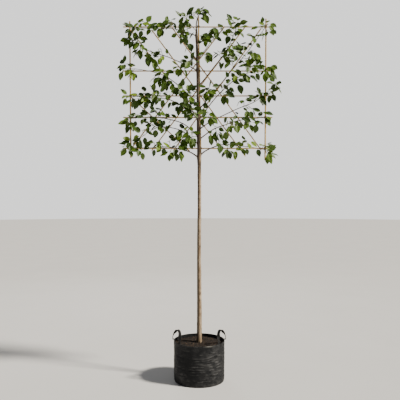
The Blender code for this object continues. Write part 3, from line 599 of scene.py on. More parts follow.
class Tree(Nodes):
    """A Geometry Nodes tree with named inputs."""

    def __init__(self, name, inputs):
        super().__init__(bpy.data.node_groups.new(name, "GeometryNodeTree"))
        self.ids = {}
        sockets = self.tree.interface
        for way in ("INPUT", "OUTPUT"):
            sockets.new_socket("Geometry", in_out=way, socket_type="NodeSocketGeometry")
        for label, kind in inputs.items():
            made = sockets.new_socket(label, in_out="INPUT", socket_type="NodeSocket" + kind)
            self.ids[label] = made.identifier
        self.source = self.tree.nodes.new("NodeGroupInput")
        self.result = self.tree.nodes.new("NodeGroupOutput")

    def given(self, label):
        return self.source.outputs[label]

    def named(self, name, kind):
        found = self.add("GeometryNodeInputNamedAttribute", {"data_type": kind}, {"Name": name})
        return found.outputs["Attribute"]

    def curves(self):
        return self.add("GeometryNodeMeshToCurve", None, {"Mesh": self.given("Geometry")}).outputs[0]

    def chance(self, kind, inputs):
        """A random value, drawn from the given seed."""
        inputs = {**inputs, "Seed": self.given("Seed")}
        return self.add("FunctionNodeRandomValue", {"data_type": kind}, inputs)

    def copies(self, points, kind, turn, size):
        """One of the given shapes at each point, by its number."""
        inputs = {"Collection": self.given("Shapes"), "Separate Children": True, "Reset Children": True}
        shapes = self.add("GeometryNodeCollectionInfo", None, inputs)
        inputs = {
            "Points": points,
            "Instance": shapes.outputs[0],
            "Pick Instance": True,
            "Instance Index": kind,
            "Rotation": turn,
            "Scale": size,
        }
        return self.add("GeometryNodeInstanceOnPoints", None, inputs).outputs[0]

    def finish(self, geometry, *extra):
        """Ends the tree: realized, and finished with its material and any further ones."""
        done = self.add("GeometryNodeRealizeInstances", None, {"Geometry": geometry})
        for inputs in ({"Material": self.given("Finish")}, *extra):
            done = self.add("GeometryNodeSetMaterial", None, {"Geometry": done.outputs[0], **inputs})
        self.put(self.result.inputs[0], done.outputs[0])
        return self

    def run(self, name, mesh, values):
        """The plain mesh that the tree makes from this one."""
        source = add_object(name + "_source", mesh)
        modifier = source.modifiers.new("grow", "NODES")
        modifier.node_group = self.tree
        for label, value in values.items():
            modifier[self.ids[label]] = value
        made = settled_mesh(source)
        made.name = name
        return made


def rods_tree():
    """Draws a round rod along each chain of edges, as thick as its points say."""
    tree = Tree("rods_on_edges", {"Sides": "Int", "Thickness": "Float", "Finish": "Material"})
    inputs = {"Resolution": tree.given("Sides"), "Radius": 1.0}
    ring = tree.add("GeometryNodeCurvePrimitiveCircle", None, inputs)
    inputs = {
        "Curve": tree.curves(),
        "Profile Curve": ring.outputs[0],
        "Scale": tree.maths("MULTIPLY", tree.named("thick", "FLOAT"), tree.given("Thickness")),
        "Fill Caps": True,
    }
    rods = tree.add("GeometryNodeCurveToMesh", None, inputs)
    smooth = tree.add("GeometryNodeSetShadeSmooth", None, {"Geometry": rods.outputs[0]})
    return tree.finish(smooth.outputs[0])


def stitches_tree():
    """Sets one stitch after another along each chain of edges."""
    tree = Tree("stitches_on_edges", {"Stitch": "Object", "Pitch": "Float", "Finish": "Material"})
    inputs = {"Curve": tree.curves(), "Length": tree.given("Pitch")}
    even = tree.add("GeometryNodeResampleCurve", {"mode": "LENGTH"}, inputs)
    way = tree.add("GeometryNodeInputTangent")
    turn = tree.add("FunctionNodeAlignRotationToVector", {"axis": "X"}, {"Vector": way.outputs[0]})
    stitch = tree.add("GeometryNodeObjectInfo", None, {"Object": tree.given("Stitch")})
    inputs = {
        "Points": even.outputs[0],
        "Instance": stitch.outputs["Geometry"],
        "Rotation": turn.outputs[0],
    }
    return tree.finish(tree.add("GeometryNodeInstanceOnPoints", None, inputs).outputs[0])


def crumbs_tree():
    """Strews shapes over the marked faces, each turned and sized by chance from a fixed seed."""
    sizes = {"Per Square Metre": "Float", "Smallest": "Float", "Largest": "Float"}
    inputs = {"Shapes": "Collection", **sizes, "Seed": "Int", "Finish": "Material"}
    tree = Tree("crumbs_on_faces", inputs)
    inputs = {
        "Mesh": tree.given("Geometry"),
        "Selection": tree.named("open_top", "BOOLEAN"),
        "Density": tree.given("Per Square Metre"),
        "Seed": tree.given("Seed"),
    }
    spots = tree.add("GeometryNodeDistributePointsOnFaces", None, inputs)
    turn = tree.chance("FLOAT_VECTOR", {"Max": (math.tau,) * 3})
    size = tree.chance("FLOAT", {2: tree.given("Smallest"), 3: tree.given("Largest")})
    kind = tree.chance("INT", {5: LUMP_KINDS - 1})
    return tree.finish(tree.copies(spots.outputs[0], kind.outputs[2], turn.outputs[0], size.outputs[1]))


def leaves_tree():
    """Sets a chosen leaf at each point, turned and sized by the point's own numbers, with a second
    finish for its underside."""
    inputs = {"Shapes": "Collection", "Finish": "Material", "Under Finish": "Material"}
    tree = Tree("leaves_at_points", inputs)
    chosen = tree.named("kind", "INT"), tree.named("turn", "QUATERNION"), tree.named("size", "FLOAT")
    leaves = tree.copies(tree.given("Geometry"), *chosen)
    under = {"Selection": tree.named("under", "BOOLEAN"), "Material": tree.given("Under Finish")}
    return tree.finish(leaves, under)


def shape_collection(name, meshes):
    """Shapes for a tree to copy. Their objects are removed again with drop_collection."""
    made = bpy.data.collections.new(name)
    bpy.context.scene.collection.children.link(made)
    for number, mesh in enumerate(meshes):
        made.objects.link(bpy.data.objects.new(f"{name}_{number:02d}", mesh))
    return made


def drop_collection(collection):
    for obj in list(collection.objects):
        bpy.data.objects.remove(obj)
    bpy.data.collections.remove(collection)


def points_mesh(name, rows):
    """A mesh of loose points from rows of (place, turn as a quaternion, size, kind)."""
    mesh = bpy.data.meshes.new(name)
    places, turns, sizes, kinds = zip(*rows)
    mesh.from_pydata(places, [], [])
    turns = [part for turn in turns for part in turn]
    given = (("turn", "QUATERNION", turns), ("size", "FLOAT", sizes), ("kind", "INT", kinds))
    for label, kind, values in given:
        mesh.attributes.new(label, kind, "POINT").data.foreach_set("value", values)
    return mesh


def chains_mesh(name, chains):
    """A mesh of edge chains from lists of (point, radius)."""
    points, radii, edges = [], [], []
    for chain in chains:
        first = len(points)
        for point, radius in chain:
            points.append(tuple(point))
            radii.append(radius)
        edges += [(first + i, first + i + 1) for i in range(len(chain) - 1)]
    mesh = bpy.data.meshes.new(name)
    mesh.from_pydata(points, edges, [])
    thick = mesh.attributes.new("thick", "FLOAT", "POINT")
    thick.data.foreach_set("value", radii)
    return mesh


# ---------------------------------------------------------------- materials


class Finish(Nodes):
    """Shader nodes for a material or a group."""

    def stretched(self, vector, scale):
        return self.add("ShaderNodeMapping", None, {"Vector": vector, "Scale": scale}).outputs[0]

    def clouds(self, vector, scale, detail=3.0, roughness=0.55):
        inputs = {"Vector": vector, "Scale": scale, "Detail": detail, "Roughness": roughness}
        return self.add("ShaderNodeTexNoise", None, inputs).outputs["Fac"]

    def cells(self, vector, scale):
        inputs = {"Vector": vector, "Scale": scale}
        return self.add("ShaderNodeTexVoronoi", None, inputs).outputs["Distance"]

    def ramp(self, value, low, high, bottom=0.0, top=1.0):
        """value from low to high read as bottom to top, held at both ends."""
        inputs = {"Value": value, "From Min": low, "From Max": high, "To Min": bottom, "To Max": top}
        settings = {"interpolation_type": "SMOOTHSTEP"}
        return self.add("ShaderNodeMapRange", settings, inputs).outputs[0]

    def mix(self, share, first, second, blend="MIX"):
        made = self.add("ShaderNodeMix", {"data_type": "RGBA", "blend_type": blend})
        for index, value in ((0, share), (6, first), (7, second)):
            self.put(made.inputs[index], value)
        return made.outputs[2]

    def parts(self, vector):
        return self.add("ShaderNodeSeparateXYZ", None, {"Vector": vector}).outputs

    def attribute(self, name):
        return self.add("ShaderNodeAttribute", {"attribute_name": name}).outputs["Vector"]

    def place(self):
        return self.add("ShaderNodeTexCoord").outputs["Object"]

    def uv(self):
        return self.add("ShaderNodeUVMap", {"uv_map": "UVMap"}).outputs[0]


SKIN_OUTPUTS = {"Colour": "Color", "Roughness": "Float", "Height": "Float"}


def shader_group(name, inputs):
    """A shader node group with these inputs that puts out a skin, its nodes to be added by the
    caller."""
    tree = bpy.data.node_groups.new(name, "ShaderNodeTree")
    for way, sockets in (("INPUT", inputs), ("OUTPUT", SKIN_OUTPUTS)):
        for label, kind in sockets.items():
            tree.interface.new_socket(label, in_out=way, socket_type="NodeSocket" + kind)
    source, result = tree.nodes.new("NodeGroupInput"), tree.nodes.new("NodeGroupOutput")
    return tree, Finish(tree), source.outputs, result.inputs


def new_material(name, roughness, **plain):
    """A material with its uniform values on the shader's own sockets."""
    made = bpy.data.materials.new(name)
    made.use_nodes = True
    shader = made.node_tree.nodes["Principled BSDF"]
    shader.inputs["Roughness"].default_value = roughness
    for key, value in plain.items():
        shader.inputs[key.replace("_", " ")].default_value = value
    return made, Finish(made.node_tree), shader


def use_skin(finish, shader, tree, inputs, relief):
    """Wears a group's roughness and relief, and returns its colour."""
    skin = finish.add("ShaderNodeGroup", {"node_tree": tree}, inputs).outputs
    finish.put(shader.inputs["Roughness"], skin["Roughness"])
    set_relief(finish, shader, skin["Height"], relief)
    return skin["Colour"]


def set_relief(finish, shader, height, distance):
    inputs = {"Height": height, "Distance": distance, "Strength": 1.0}
    finish.put(shader.inputs["Normal"], finish.add("ShaderNodeBump", None, inputs).outputs[0])


def bark_group():
    """Young bark: long shallow streaks, mottled patches, pale cross dashes and dark knots; the darkening
    input also carries painted shade.
    """
    inputs = {"Main": "Color", "Dark": "Color", "Pale": "Color", "Dark_marks_and_shade": "Float", "Grain": "Float"}
    tree, f, given, out = shader_group("young_bark", inputs)
    place = f.place()
    fine = f.add("ShaderNodeVectorMath", {"operation": "SCALE"}, {0: place, "Scale": given["Grain"]})
    fine = fine.outputs[0]
    streaks = f.clouds(f.stretched(fine, (260.0, 260.0, 34.0)), 1.0, 4.0, 0.6)
    patches = f.clouds(f.stretched(fine, (1.0, 1.0, 0.45)), 26.0, 3.0, 0.6)
    dashes = f.cells(f.stretched(fine, (95.0, 95.0, 330.0)), 1.0)
    dashes = f.maths("MULTIPLY", f.ramp(dashes, 0.30, 0.16), f.ramp(patches, 0.38, 0.55))
    colour = f.mix(f.ramp(patches, 0.40, 0.62), given["Main"], given["Pale"])
    colour = f.mix(f.ramp(streaks, 0.50, 0.28), colour, given["Dark"])
    colour = f.mix(f.maths("MULTIPLY", dashes, 0.60), colour, given["Pale"])
    colour = f.mix(given["Dark_marks_and_shade"], colour, given["Dark"])
    f.put(out["Colour"], colour)
    f.put(out["Roughness"], f.ramp(streaks, 0.3, 0.7, 0.92, 0.70))
    height = f.maths("MULTIPLY_ADD", dashes, 0.5, f.maths("MULTIPLY", streaks, 0.8))
    f.put(out["Height"], height)
    return tree


def weave_group():
    """Woven thread on a UV map in metres, with a soft worn tone over its ridges, the same tone also laid on
    as painted sheen.
    """
    inputs = {"Thread": "Float", "Main": "Color", "Worn_and_sheen": "Color", "Wear_and_sheen": "Float"}
    tree, f, given, out = shader_group("woven_threads", inputs)
    u, v, _ = f.parts(f.uv())
    pitch = f.maths("DIVIDE", math.pi, given["Thread"])
    warp = f.maths("SINE", f.maths("MULTIPLY", u, pitch))
    weft = f.maths("SINE", f.maths("MULTIPLY", v, pitch))
    cross = f.maths("MULTIPLY", warp, weft)
    place = f.place()
    slubs = f.clouds(f.stretched(place, (140.0, 140.0, 700.0)), 1.0, 2.0)
    blotch = f.clouds(place, 22.0, 3.0)
    worn_and_sheen = f.maths("MULTIPLY", given["Wear_and_sheen"], f.ramp(blotch, 0.32, 0.66))
    colour = f.mix(worn_and_sheen, given["Main"], given["Worn_and_sheen"])
    shade = f.ramp(cross, -1.0, 1.0, 0.80, 1.14)
    grey = f.add("ShaderNodeCombineColor", None, {0: shade, 1: shade, 2: shade}).outputs[0]
    colour = f.mix(1.0, colour, grey, "MULTIPLY")
    f.put(out["Colour"], colour)
    f.put(out["Roughness"], f.ramp(blotch, 0.3, 0.7, 0.44, 0.62))
    f.put(out["Height"], f.maths("MULTIPLY_ADD", slubs, 0.6, f.maths("MULTIPLY", cross, 0.5)))
    return tree


def leaf_group():
    """A blade's midrib, side veins and soft mottling, on a UV map of shares across and along."""
    inputs = {"Main": "Color", "Vein": "Color", "Deep": "Color"}
    tree, f, given, out = shader_group("leaf_veins", inputs)
    u, v, _ = f.parts(f.uv())
    off = f.maths("ABSOLUTE", f.maths("SUBTRACT", u, 0.5))
    rib = f.ramp(off, 0.030, 0.010)
    slope = f.maths("MULTIPLY_ADD", off, -0.55, v)
    side = f.ramp(f.maths("SINE", f.maths("MULTIPLY", slope, 78.0)), 0.86, 1.0)
    patches = f.clouds(f.place(), 42.0, 3.0)
    colour = f.mix(f.ramp(patches, 0.35, 0.68), given["Deep"], given["Main"])
    colour = f.mix(f.maths("MULTIPLY", side, 0.22), colour, given["Vein"])
    colour = f.mix(f.maths("MULTIPLY", rib, 0.75), colour, given["Vein"])
    f.put(out["Colour"], colour)
    f.put(out["Roughness"], f.ramp(patches, 0.3, 0.7, 0.34, 0.50))
    f.put(out["Height"], f.maths("MULTIPLY_ADD", rib, -0.8, f.maths("MULTIPLY", side, -0.4)))
    return tree


def bark_material(name, tree, main, dark, pale, grain, relief):
    made, f, shader = new_material(name, 0.85)
    # the first mark darkens knots and collars, and carries painted shade in the crown and on one side
    knot = f.parts(f.attribute("mark"))[0]
    inputs = {"Main": main, "Dark": dark, "Pale": pale, "Dark_marks_and_shade": knot, "Grain": grain}
    f.put(shader.inputs["Base Color"], use_skin(f, shader, tree, inputs, relief))
    return made


def fabric_material(tree, name, thread, main, worn_and_sheen):
    made, f, shader = new_material(name, 0.7, Specular_IOR_Level=0.14)
    # the first mark is wear with painted sheen in it
    wear_and_sheen, rim_highlight_share, _ = f.parts(f.attribute("mark"))
    inputs = {"Thread": thread, "Main": main, "Worn_and_sheen": worn_and_sheen, "Wear_and_sheen": wear_and_sheen}
    colour = use_skin(f, shader, tree, inputs, 0.0007)
    # the rim's painted highlight is mixed over the fabric's colour
    f.put(shader.inputs["Base Color"], f.mix(rim_highlight_share, colour, RIM_HIGHLIGHT_COLOUR))
    return made


def leaf_material(name, tree, main, deep, vein, coat):
    plain = {"Coat_Weight": coat, "Coat_Roughness": 0.38, "Specular_IOR_Level": 0.30}
    made, f, shader = new_material(name, 0.42, **plain)
    inputs = {"Main": main, "Deep": deep, "Vein": vein}
    f.put(shader.inputs["Base Color"], use_skin(f, shader, tree, inputs, 0.0006))
    return made


def stalk_material(name, main, second):
    """Fresh green stalks, redder in places."""
    made, f, shader = new_material(name, 0.5)
    f.put(shader.inputs["Base Color"], f.mix(f.ramp(f.clouds(f.place(), 60.0), 0.4, 0.65), main, second))
    return made


def cane_material(name):
    """Split-free bamboo: fine lengthwise fibre, brown stains, dark rings with a pale bloom."""
    made, f, shader = new_material(name, 0.45, Coat_Weight=0.12, Coat_Roughness=0.35)
    tone, ring, bloom = f.parts(f.attribute("mark"))
    fibre = f.clouds(f.stretched(f.uv(), (46.0, 9.0, 1.0)), 1.0, 4.0, 0.65)
    place = f.place()
    stain = f.clouds(f.stretched(place, (1.0, 1.0, 0.8)), 17.0, 4.0, 0.65)
    colour = f.mix(tone, (0.760, 0.500, 0.165), (0.600, 0.370, 0.110))
    colour = f.mix(f.ramp(fibre, 0.56, 0.34, 0.0, 0.45), colour, (0.400, 0.230, 0.065))
    colour = f.mix(f.ramp(stain, 0.58, 0.76, 0.0, 0.55), colour, (0.300, 0.180, 0.075))
    colour = f.mix(f.maths("MULTIPLY", bloom, 0.45), colour, (0.860, 0.780, 0.560))
    # the ring tone also lies inside the hollow ends as painted shade
    colour = f.mix(f.maths("MULTIPLY", ring, 0.85), colour, (0.150, 0.085, 0.040))
    f.put(shader.inputs["Base Color"], colour)
    f.put(shader.inputs["Roughness"], f.ramp(fibre, 0.3, 0.7, 0.52, 0.36))
    set_relief(f, shader, fibre, 0.0004)
    return made


def twine_material(name):
    made, f, shader = new_material(name, 0.9)
    fibre = f.clouds(f.place(), 900.0, 2.0)
    colour = f.mix(f.ramp(fibre, 0.3, 0.7), (0.085, 0.062, 0.036), (0.240, 0.180, 0.105))
    f.put(shader.inputs["Base Color"], colour)
    set_relief(f, shader, fibre, 0.0004)
    return made


def thread_material(name):
    made, f, shader = new_material(name, 0.6)
    fibre = f.clouds(f.place(), 1400.0, 1.0)
    colour = f.mix(fibre, (0.020, 0.021, 0.023), (0.075, 0.077, 0.082))
    f.put(shader.inputs["Base Color"], colour)
    return made


def compost_material(name, dark, brown, pale):
    made, f, shader = new_material(name, 0.95)
    place = f.place()
    grain = f.clouds(place, 260.0, 4.0, 0.7)
    patch = f.clouds(place, 34.0, 3.0)
    colour = f.mix(f.ramp(patch, 0.35, 0.65), dark, brown)
    colour = f.mix(f.ramp(grain, 0.60, 0.76, 0.0, 0.8), colour, pale)
    f.put(shader.inputs["Base Color"], colour)
    f.put(shader.inputs["Roughness"], f.ramp(patch, 0.3, 0.7, 0.86, 0.98))
    set_relief(f, shader, grain, 0.0018)
    return made


def floor_material(name):
    made, f, shader = new_material(name, 0.9)
    soft = f.clouds(f.place(), 1.3, 3.0)
    colour = f.mix(soft, (0.740, 0.730, 0.710), (0.800, 0.790, 0.770))
    f.put(shader.inputs["Base Color"], colour)
    return made


def mixed(first, second, share):
    return tuple((1.0 - share) * a + share * b for a, b in zip(first, second))


def make_finishes():
    bark, weave, leaf = bark_group(), weave_group(), leaf_group()
    finishes = {key: bark_material(key + "_bark", bark, *row) for key, row in BARKS.items()}
    finishes |= {key: fabric_material(weave, *row) for key, row in FABRICS.items()}
    finishes["thread"] = thread_material("stitching_thread")
    finishes |= {key: compost_material(*row) for key, row in SOILS.items()}
    finishes["cane"] = cane_material("bamboo_skin")
    finishes["twine"] = twine_material("jute_twine")
    finishes["stalk"] = stalk_material("leaf_stalk", (0.200, 0.290, 0.070), (0.250, 0.200, 0.080))
    finishes["bud"] = stalk_material("bud_scale", (0.130, 0.060, 0.032), (0.200, 0.110, 0.050))
    finishes["floor"] = floor_material("floor_pale")
    for tone, (main, deep) in GREENS.items():
        vein, under = mixed(main, VEIN_PALE, 0.45), mixed(main, UNDER_PALE, 0.35)
        finishes[tone] = leaf_material("leaf_" + tone, leaf, main, deep, vein, 0.05)
        finishes["under_" + tone] = leaf_material("leaf_under_" + tone, leaf, under, under, vein, 0.0)
    return finishes


# ---------------------------------------------------------------- grow bag


def bag_rows(step):
    """(radius, height) rows up the outer wall, its corners rounded."""
    profile = np.array(BAG_PROFILE)
    along = travelled(np.column_stack((profile, np.zeros(len(profile)))))
    count = int(along[-1] / step) + 1
    even = np.linspace(0.0, along[-1], count)
    rows = np.column_stack([np.interp(even, along, profile[:, i]) for i in range(2)])
    for _ in range(3):
        rows[1:-1] = (rows[:-2] + 2 * rows[1:-1] + rows[2:]) / 4
    return rows


def make_creases():
    """Short level folds, closest where the filled wall has slumped most, low on the front."""
    rng = random.Random(CREASE_SEED)
    creases = []
    while len(creases) < CREASE_COUNT:
        angle, height = rng.uniform(-math.pi, math.pi), rng.uniform(*CREASE_HEIGHT)
        off_front = math.remainder(angle - math.radians(FRONT_DEG + SLUMP_DEG), math.tau)
        slump = 0.45 + 0.55 * math.exp(-((off_front / 0.9) ** 2))
        if rng.random() > slump * (1.0 - 0.55 * height / BAG_HEIGHT):
            continue
        creases.append(
            (
                angle,
                height,
                rng.uniform(*CREASE_LENGTH),
                rng.uniform(*CREASE_WIDTH),
                rng.uniform(*CREASE_DEPTH) * (0.55 + 0.6 * slump),
                rng.uniform(-CREASE_TILT, CREASE_TILT),
                rng.uniform(*CREASE_BOW),
            )
        )
    return creases


def bag_relief(angles, heights, creases):
    """How far the fabric stands out (+) or in (-) at these angles and heights, from its pouches,
    its creases and its fine wrinkles."""
    angles, heights = np.broadcast_arrays(angles, heights)
    round_way = np.stack((np.cos(angles), np.sin(angles), heights * 5.0), axis=-1)
    relief = POUCH_DEPTH * field(round_way, 1.35, 2)
    for angle, height, length, width, depth, tilt, bow in creases:
        across = np.remainder(angles - angle + math.pi, math.tau) - math.pi
        u = across * BAG_RIM_RADIUS
        q = (heights - height - tilt * u - bow * u * u) / width
        relief += depth * np.exp(-((u / length) ** 2) * 1.6) * q * np.exp(-q * q / 2)
    fine = np.stack((np.cos(angles) * 7.0, np.sin(angles) * 7.0, heights * 150.0), axis=-1)
    relief += WRINKLE_DEPTH * field(fine, 1.0, 2)
    calm = np.interp(heights, (0.0, 0.02, 0.060, 0.315, 0.336), (0.0, 0.35, 1.0, 1.0, 0.30))
    relief *= calm
    seam = np.remainder(angles - math.radians(SEAM_DEG) + math.pi, math.tau) - math.pi
    lapped = np.abs(seam) * BAG_RIM_RADIUS < SEAM_WIDTH / 2
    return relief + SEAM_PROUD * lapped * np.interp(heights, (0.0, 0.03), (0.0, 1.0))


def rim_drop(angles):
    """How far the rim dips below its full height."""
    round_way = np.stack((np.cos(angles), np.sin(angles), 0.0 * angles), axis=-1)
    return RIM_WAVE * (0.5 + 0.5 * field(round_way, 2.1, 2)) + 0.0004


def bag_surface(angles, heights, radii, creases):
    """Points on the bag's wall, with its relief and its wavy rim."""
    angles, heights, radii = np.broadcast_arrays(angles, heights, radii)
    radii = radii + bag_relief(angles, heights, creases)
    round_way = np.stack((np.cos(angles), np.sin(angles), 0.0 * angles), axis=-1)
    radii = radii + 0.0010 * field(round_way, 2.6, 1)
    lower = rim_drop(angles) * np.interp(heights, (0.25, BAG_HEIGHT), (0.0, 1.0)) ** 2
    return np.stack((radii * np.cos(angles), radii * np.sin(angles), heights - lower), axis=-1)


def bag_wear_and_painted_light(turn, heights, hem, relief, base, rings):
    """How worn the fabric is, with a broad painted sheen added (first number), and how strong a painted
    highlight on the rim is (second), at each point of the bag's rings; base is how many rings come before the
    wall."""
    wear_and_sheen = np.zeros(rings.shape[:2] + (3,))
    wall, roll = base + len(heights), base + len(heights) + 3
    raised = np.clip(relief / POUCH_DEPTH, 0.0, 1.0) * 0.9
    soiled = np.interp(heights, (0.0, 0.05), (0.55, 0.0)) + 0.0 * turn
    # a broad painted sheen on the wall's front right, laid into the wear tone
    round_front = np.remainder(np.degrees(turn) - PAINTED_SHEEN_DEG[0] + 180.0, 360.0) - 180.0
    painted_sheen = 0.42 * hill(round_front, PAINTED_SHEEN_DEG[1]) + 0.0 * heights
    worn_and_sheen = np.maximum(np.maximum(raised, soiled), hem * 0.35) + painted_sheen
    wear_and_sheen[base:wall, :, 0] = np.clip(worn_and_sheen, 0.0, 1.0)
    wear_and_sheen[wall:roll, :, 0] = 1.0
    wear_and_sheen[roll:, :, 0] = 0.25
    # a pale painted highlight on the rim's front right
    rim_highlight = 0.55 * hill(np.degrees(turn) - 360.0 - PAINTED_RIM_HIGHLIGHT_DEG[0], PAINTED_RIM_HIGHLIGHT_DEG[1])
    row, rim = np.arange(roll - base)[:, None], len(heights) - 2
    wear_and_sheen[base:roll, :, 1] = rim_highlight * np.interp(row, (rim - 3, rim), (0.0, 1.0))
    return wear_and_sheen


def make_bag(finishes, creases):
    """The bag's fabric: underside, creased wall, rolled rim and plainer inner side."""
    turn = round_turn(BAG_SIDES)
    rows = bag_rows(BAG_ROW)
    radii, heights = rows[:, :1], rows[:, 1:]
    hem = np.clip((heights - (BAG_HEIGHT - HEM_HEIGHT)) / 0.0022, 0.0, 1.0)
    outer = bag_surface(turn, heights, radii + HEM_PROUD * hem, creases)
    relief = bag_relief(turn, heights, creases)
    top = outer[-1]
    base = [outer[0] * share for share in UNDERSIDE_SHARES]
    outwards = unit(top * (1.0, 1.0, 0.0))
    thick = BAG_WALL + 2 * HEM_PROUD
    roll = []
    for bend in np.radians((35.0, 90.0, 145.0)):
        shift = outwards * (thick / 2 * (math.cos(bend) - 1.0))
        roll.append(top + shift + np.array((0.0, 0.0, thick / 2 * math.sin(bend))))
    inner_heights = np.array(INNER_HEIGHTS)[:, None]
    inner_radii = np.interp(inner_heights, rows[:, 1], rows[:, 0]) - BAG_WALL
    inner = bag_surface(turn, inner_heights, inner_radii, [])
    lowered = np.array((0.0, 0.0, -0.010))
    floor = [inner[-1] * (share, share, 1.0) + lowered for share in (0.92, 0.5, 0.02)]
    rings = np.concatenate((base, outer, roll, inner, floor))
    skin = Skin()
    skin.loft(rings, travelled(rings[:, 0]), bag_wear_and_painted_light(turn, heights, hem, relief, len(base), rings))
    mesh = skin.mesh("grow_bag_fabric", 60.0)
    widen_uv(mesh, math.tau * BAG_RIM_RADIUS)
    return dress("grow_bag_fabric", mesh, finishes["bag"], ["grow_bag"])


def bag_chain(angles, heights, creases, outwards):
    """A line on the bag's outer face, for a row of stitches."""
    angles, heights = np.broadcast_arrays(np.asarray(angles, float), np.asarray(heights, float))
    rows = bag_rows(BAG_ROW)
    radii = np.interp(heights, rows[:, 1], rows[:, 0])
    points = bag_surface(angles, heights, radii + outwards, creases)
    return [(point, STITCH_RADIUS) for point in points]


def stitch_mesh():
    """One short stitch, rounded and sunk at both ends, along X."""
    skin = Skin()
    along = np.linspace(-1.0, 1.0, 5)
    centres = [(x * STITCH_LENGTH / 2, 0.0, 0.0) for x in along]
    skin.tube(centres, STITCH_RADIUS * np.sqrt(1.02 - along**2), 5)
    return skin.mesh("stitch")


def box_lines(degrees):
    """The lines, as (angles, heights), of a stitched box and its cross under a handle's foot."""
    middle, half = math.radians(degrees), BOX_HALF / BAG_RIM_RADIUS
    low, high = (BAG_HEIGHT - HEM_HEIGHT - depth for depth in BOX_DEPTHS)
    side = np.linspace(low, high, 12)
    across = np.linspace(middle - half, middle + half, 12)
    uprights = (middle - half, side), (middle + half, side)
    return *uprights, (across, low), (across, high), (across, side), (across[::-1], side)


def make_stitching(finishes, creases, tree):
    """Rows of stitches: two round the hem, two down the seam, and a box under each handle foot."""
    round_way = np.linspace(0.0, math.tau, 361)
    hem_low = BAG_HEIGHT - HEM_HEIGHT
    chains = [bag_chain(round_way, hem_low + row, creases, HEM_PROUD) for row in HEM_ROWS]
    up = np.linspace(0.030, hem_low - 0.002, 90)
    lines = [(math.radians(SEAM_DEG) + shift / BAG_RIM_RADIUS, up) for shift in SEAM_ROWS]
    for feet in HANDLE_FEET_DEG.values():
        for degrees in feet:
            lines += box_lines(degrees)
    chains += [bag_chain(angles, heights, creases, STITCH_PROUD) for angles, heights in lines]
    stitch = add_object("stitch_shape", stitch_mesh())
    values = {"Stitch": stitch, "Pitch": STITCH_PITCH, "Finish": finishes["thread"]}
    mesh = tree.run("bag_stitching", chains_mesh("stitch_rows", chains), values)
    bpy.data.objects.remove(stitch)
    return dress("bag_stitching", mesh, None, ["grow_bag"])


def strap_point(share, feet_deg):
    """Centre of the strap at this share of its length, how far it is turned flat (0 to 1), and
    its outward direction."""
    leg = STRAP_LEG_SHARE
    foot, arch_foot = SOIL_EDGE + 2 * GAP, BAG_HEIGHT + GAP
    arch = min(max((share - leg) / (1 - 2 * leg), 0.0), 1.0)
    near = arch + np.linspace(-STRAP_EASE, STRAP_EASE, 9)
    knots = np.array(STRAP_ARCH).T
    across, lift, out = (float(np.interp(near, knots[0], row).mean()) for row in knots[1:])
    level, flat = STRAP_TURN_LIFT
    turned = min(max((lift - level) / (flat - level), 0.0), 1.0)
    below = max(leg - min(share, 1 - share), 0.0) / leg
    angle = math.radians(feet_deg[0] + (feet_deg[1] - feet_deg[0]) * across)
    outward = Vector((math.cos(angle), math.sin(angle), 0.0))
    height = arch_foot + STRAP_RISE * lift - below * (arch_foot - foot)
    centre = outward * (STRAP_RADIUS + out * (1.0 - below))
    return centre + Vector((0.0, 0.0, height)), turned, outward


def strap_section():
    """Across a strap, as (share of half width, share of half thickness), with beaded edges."""
    high, place, width = STRAP_BEAD
    beads = [(x, (abs(x) - place) / width) for x in np.linspace(0.97, -0.97, 15)]
    upper = [(x, 1.0 + high * math.exp(-(off**2))) for x, off in beads]
    return upper + [(-1.0, 0.0)] + [(-x, -y) for x, y in upper] + [(1.0, 0.0)]


def make_strap(name, feet_deg, finishes):
    """Webbing that stands flat against the wall at its feet and turns flat over the top."""
    hand = math.copysign(1.0, feet_deg[1] - feet_deg[0])
    section = strap_section()
    rings, marks = [], []
    for share in np.linspace(0.0, 1.0, STRAP_STEPS):
        centre, turned, outward = strap_point(share, feet_deg)
        ahead = strap_point(min(share + STRAP_LOOK, 1.0), feet_deg)[0]
        behind = strap_point(max(share - STRAP_LOOK, 0.0), feet_deg)[0]
        along = (ahead - behind).normalized()
        flat = square_to(along, outward)
        twist = math.pi / 2 * turned * hand
        width = along.cross(flat) * math.cos(twist) + flat * math.sin(twist)
        face = width.cross(along)
        ring = []
        for across, through in section:
            beside = centre + width * (across * STRAP_WIDTH / 2)
            point = beside + face * (through * STRAP_THICKNESS / 2)
            if turned == 0.0:
                level = beside.xy.normalized()
                out = centre.xy.length + face.dot(outward) * through * STRAP_THICKNESS / 2
                point.xy = level * out
            ring.append(tuple(point))
        rings.append(ring)
        marks.append([(0.15 + 0.75 * max(0.0, (abs(x) - 0.80) / 0.20), 0.0, 0.0) for x, _ in section])
    skin = Skin()
    skin.loft(np.array(rings), mark=np.array(marks))
    mesh = skin.mesh(name + "_webbing", 70.0)
    widen_uv(mesh, 2 * STRAP_WIDTH)
    return dress(name + "_webbing", mesh, finishes["webbing"], [name])


# ---------------------------------------------------------------- compost


def soil_height(x, y):
    """The compost's surface: flat round the trunk, falling to the wall, with clods and crumbs."""
    reach = np.hypot(x, y)
    fall = np.interp(reach, (SOIL_FLAT_RADIUS, SOIL_RADIUS), (0.0, SOIL_TOP - SOIL_EDGE))
    spots = np.stack((x, y, 0.0 * x), axis=-1)
    clods = 1.0 - np.abs(field(spots, 34.0, 3))
    mounds, crumbs = field(spots, 9.0, 2), field(spots, 160.0, 2)
    parts = zip(SOIL_SWELLS, (mounds, clods - 0.75, crumbs))
    return SOIL_TOP - fall + sum(high * part for high, part in parts)


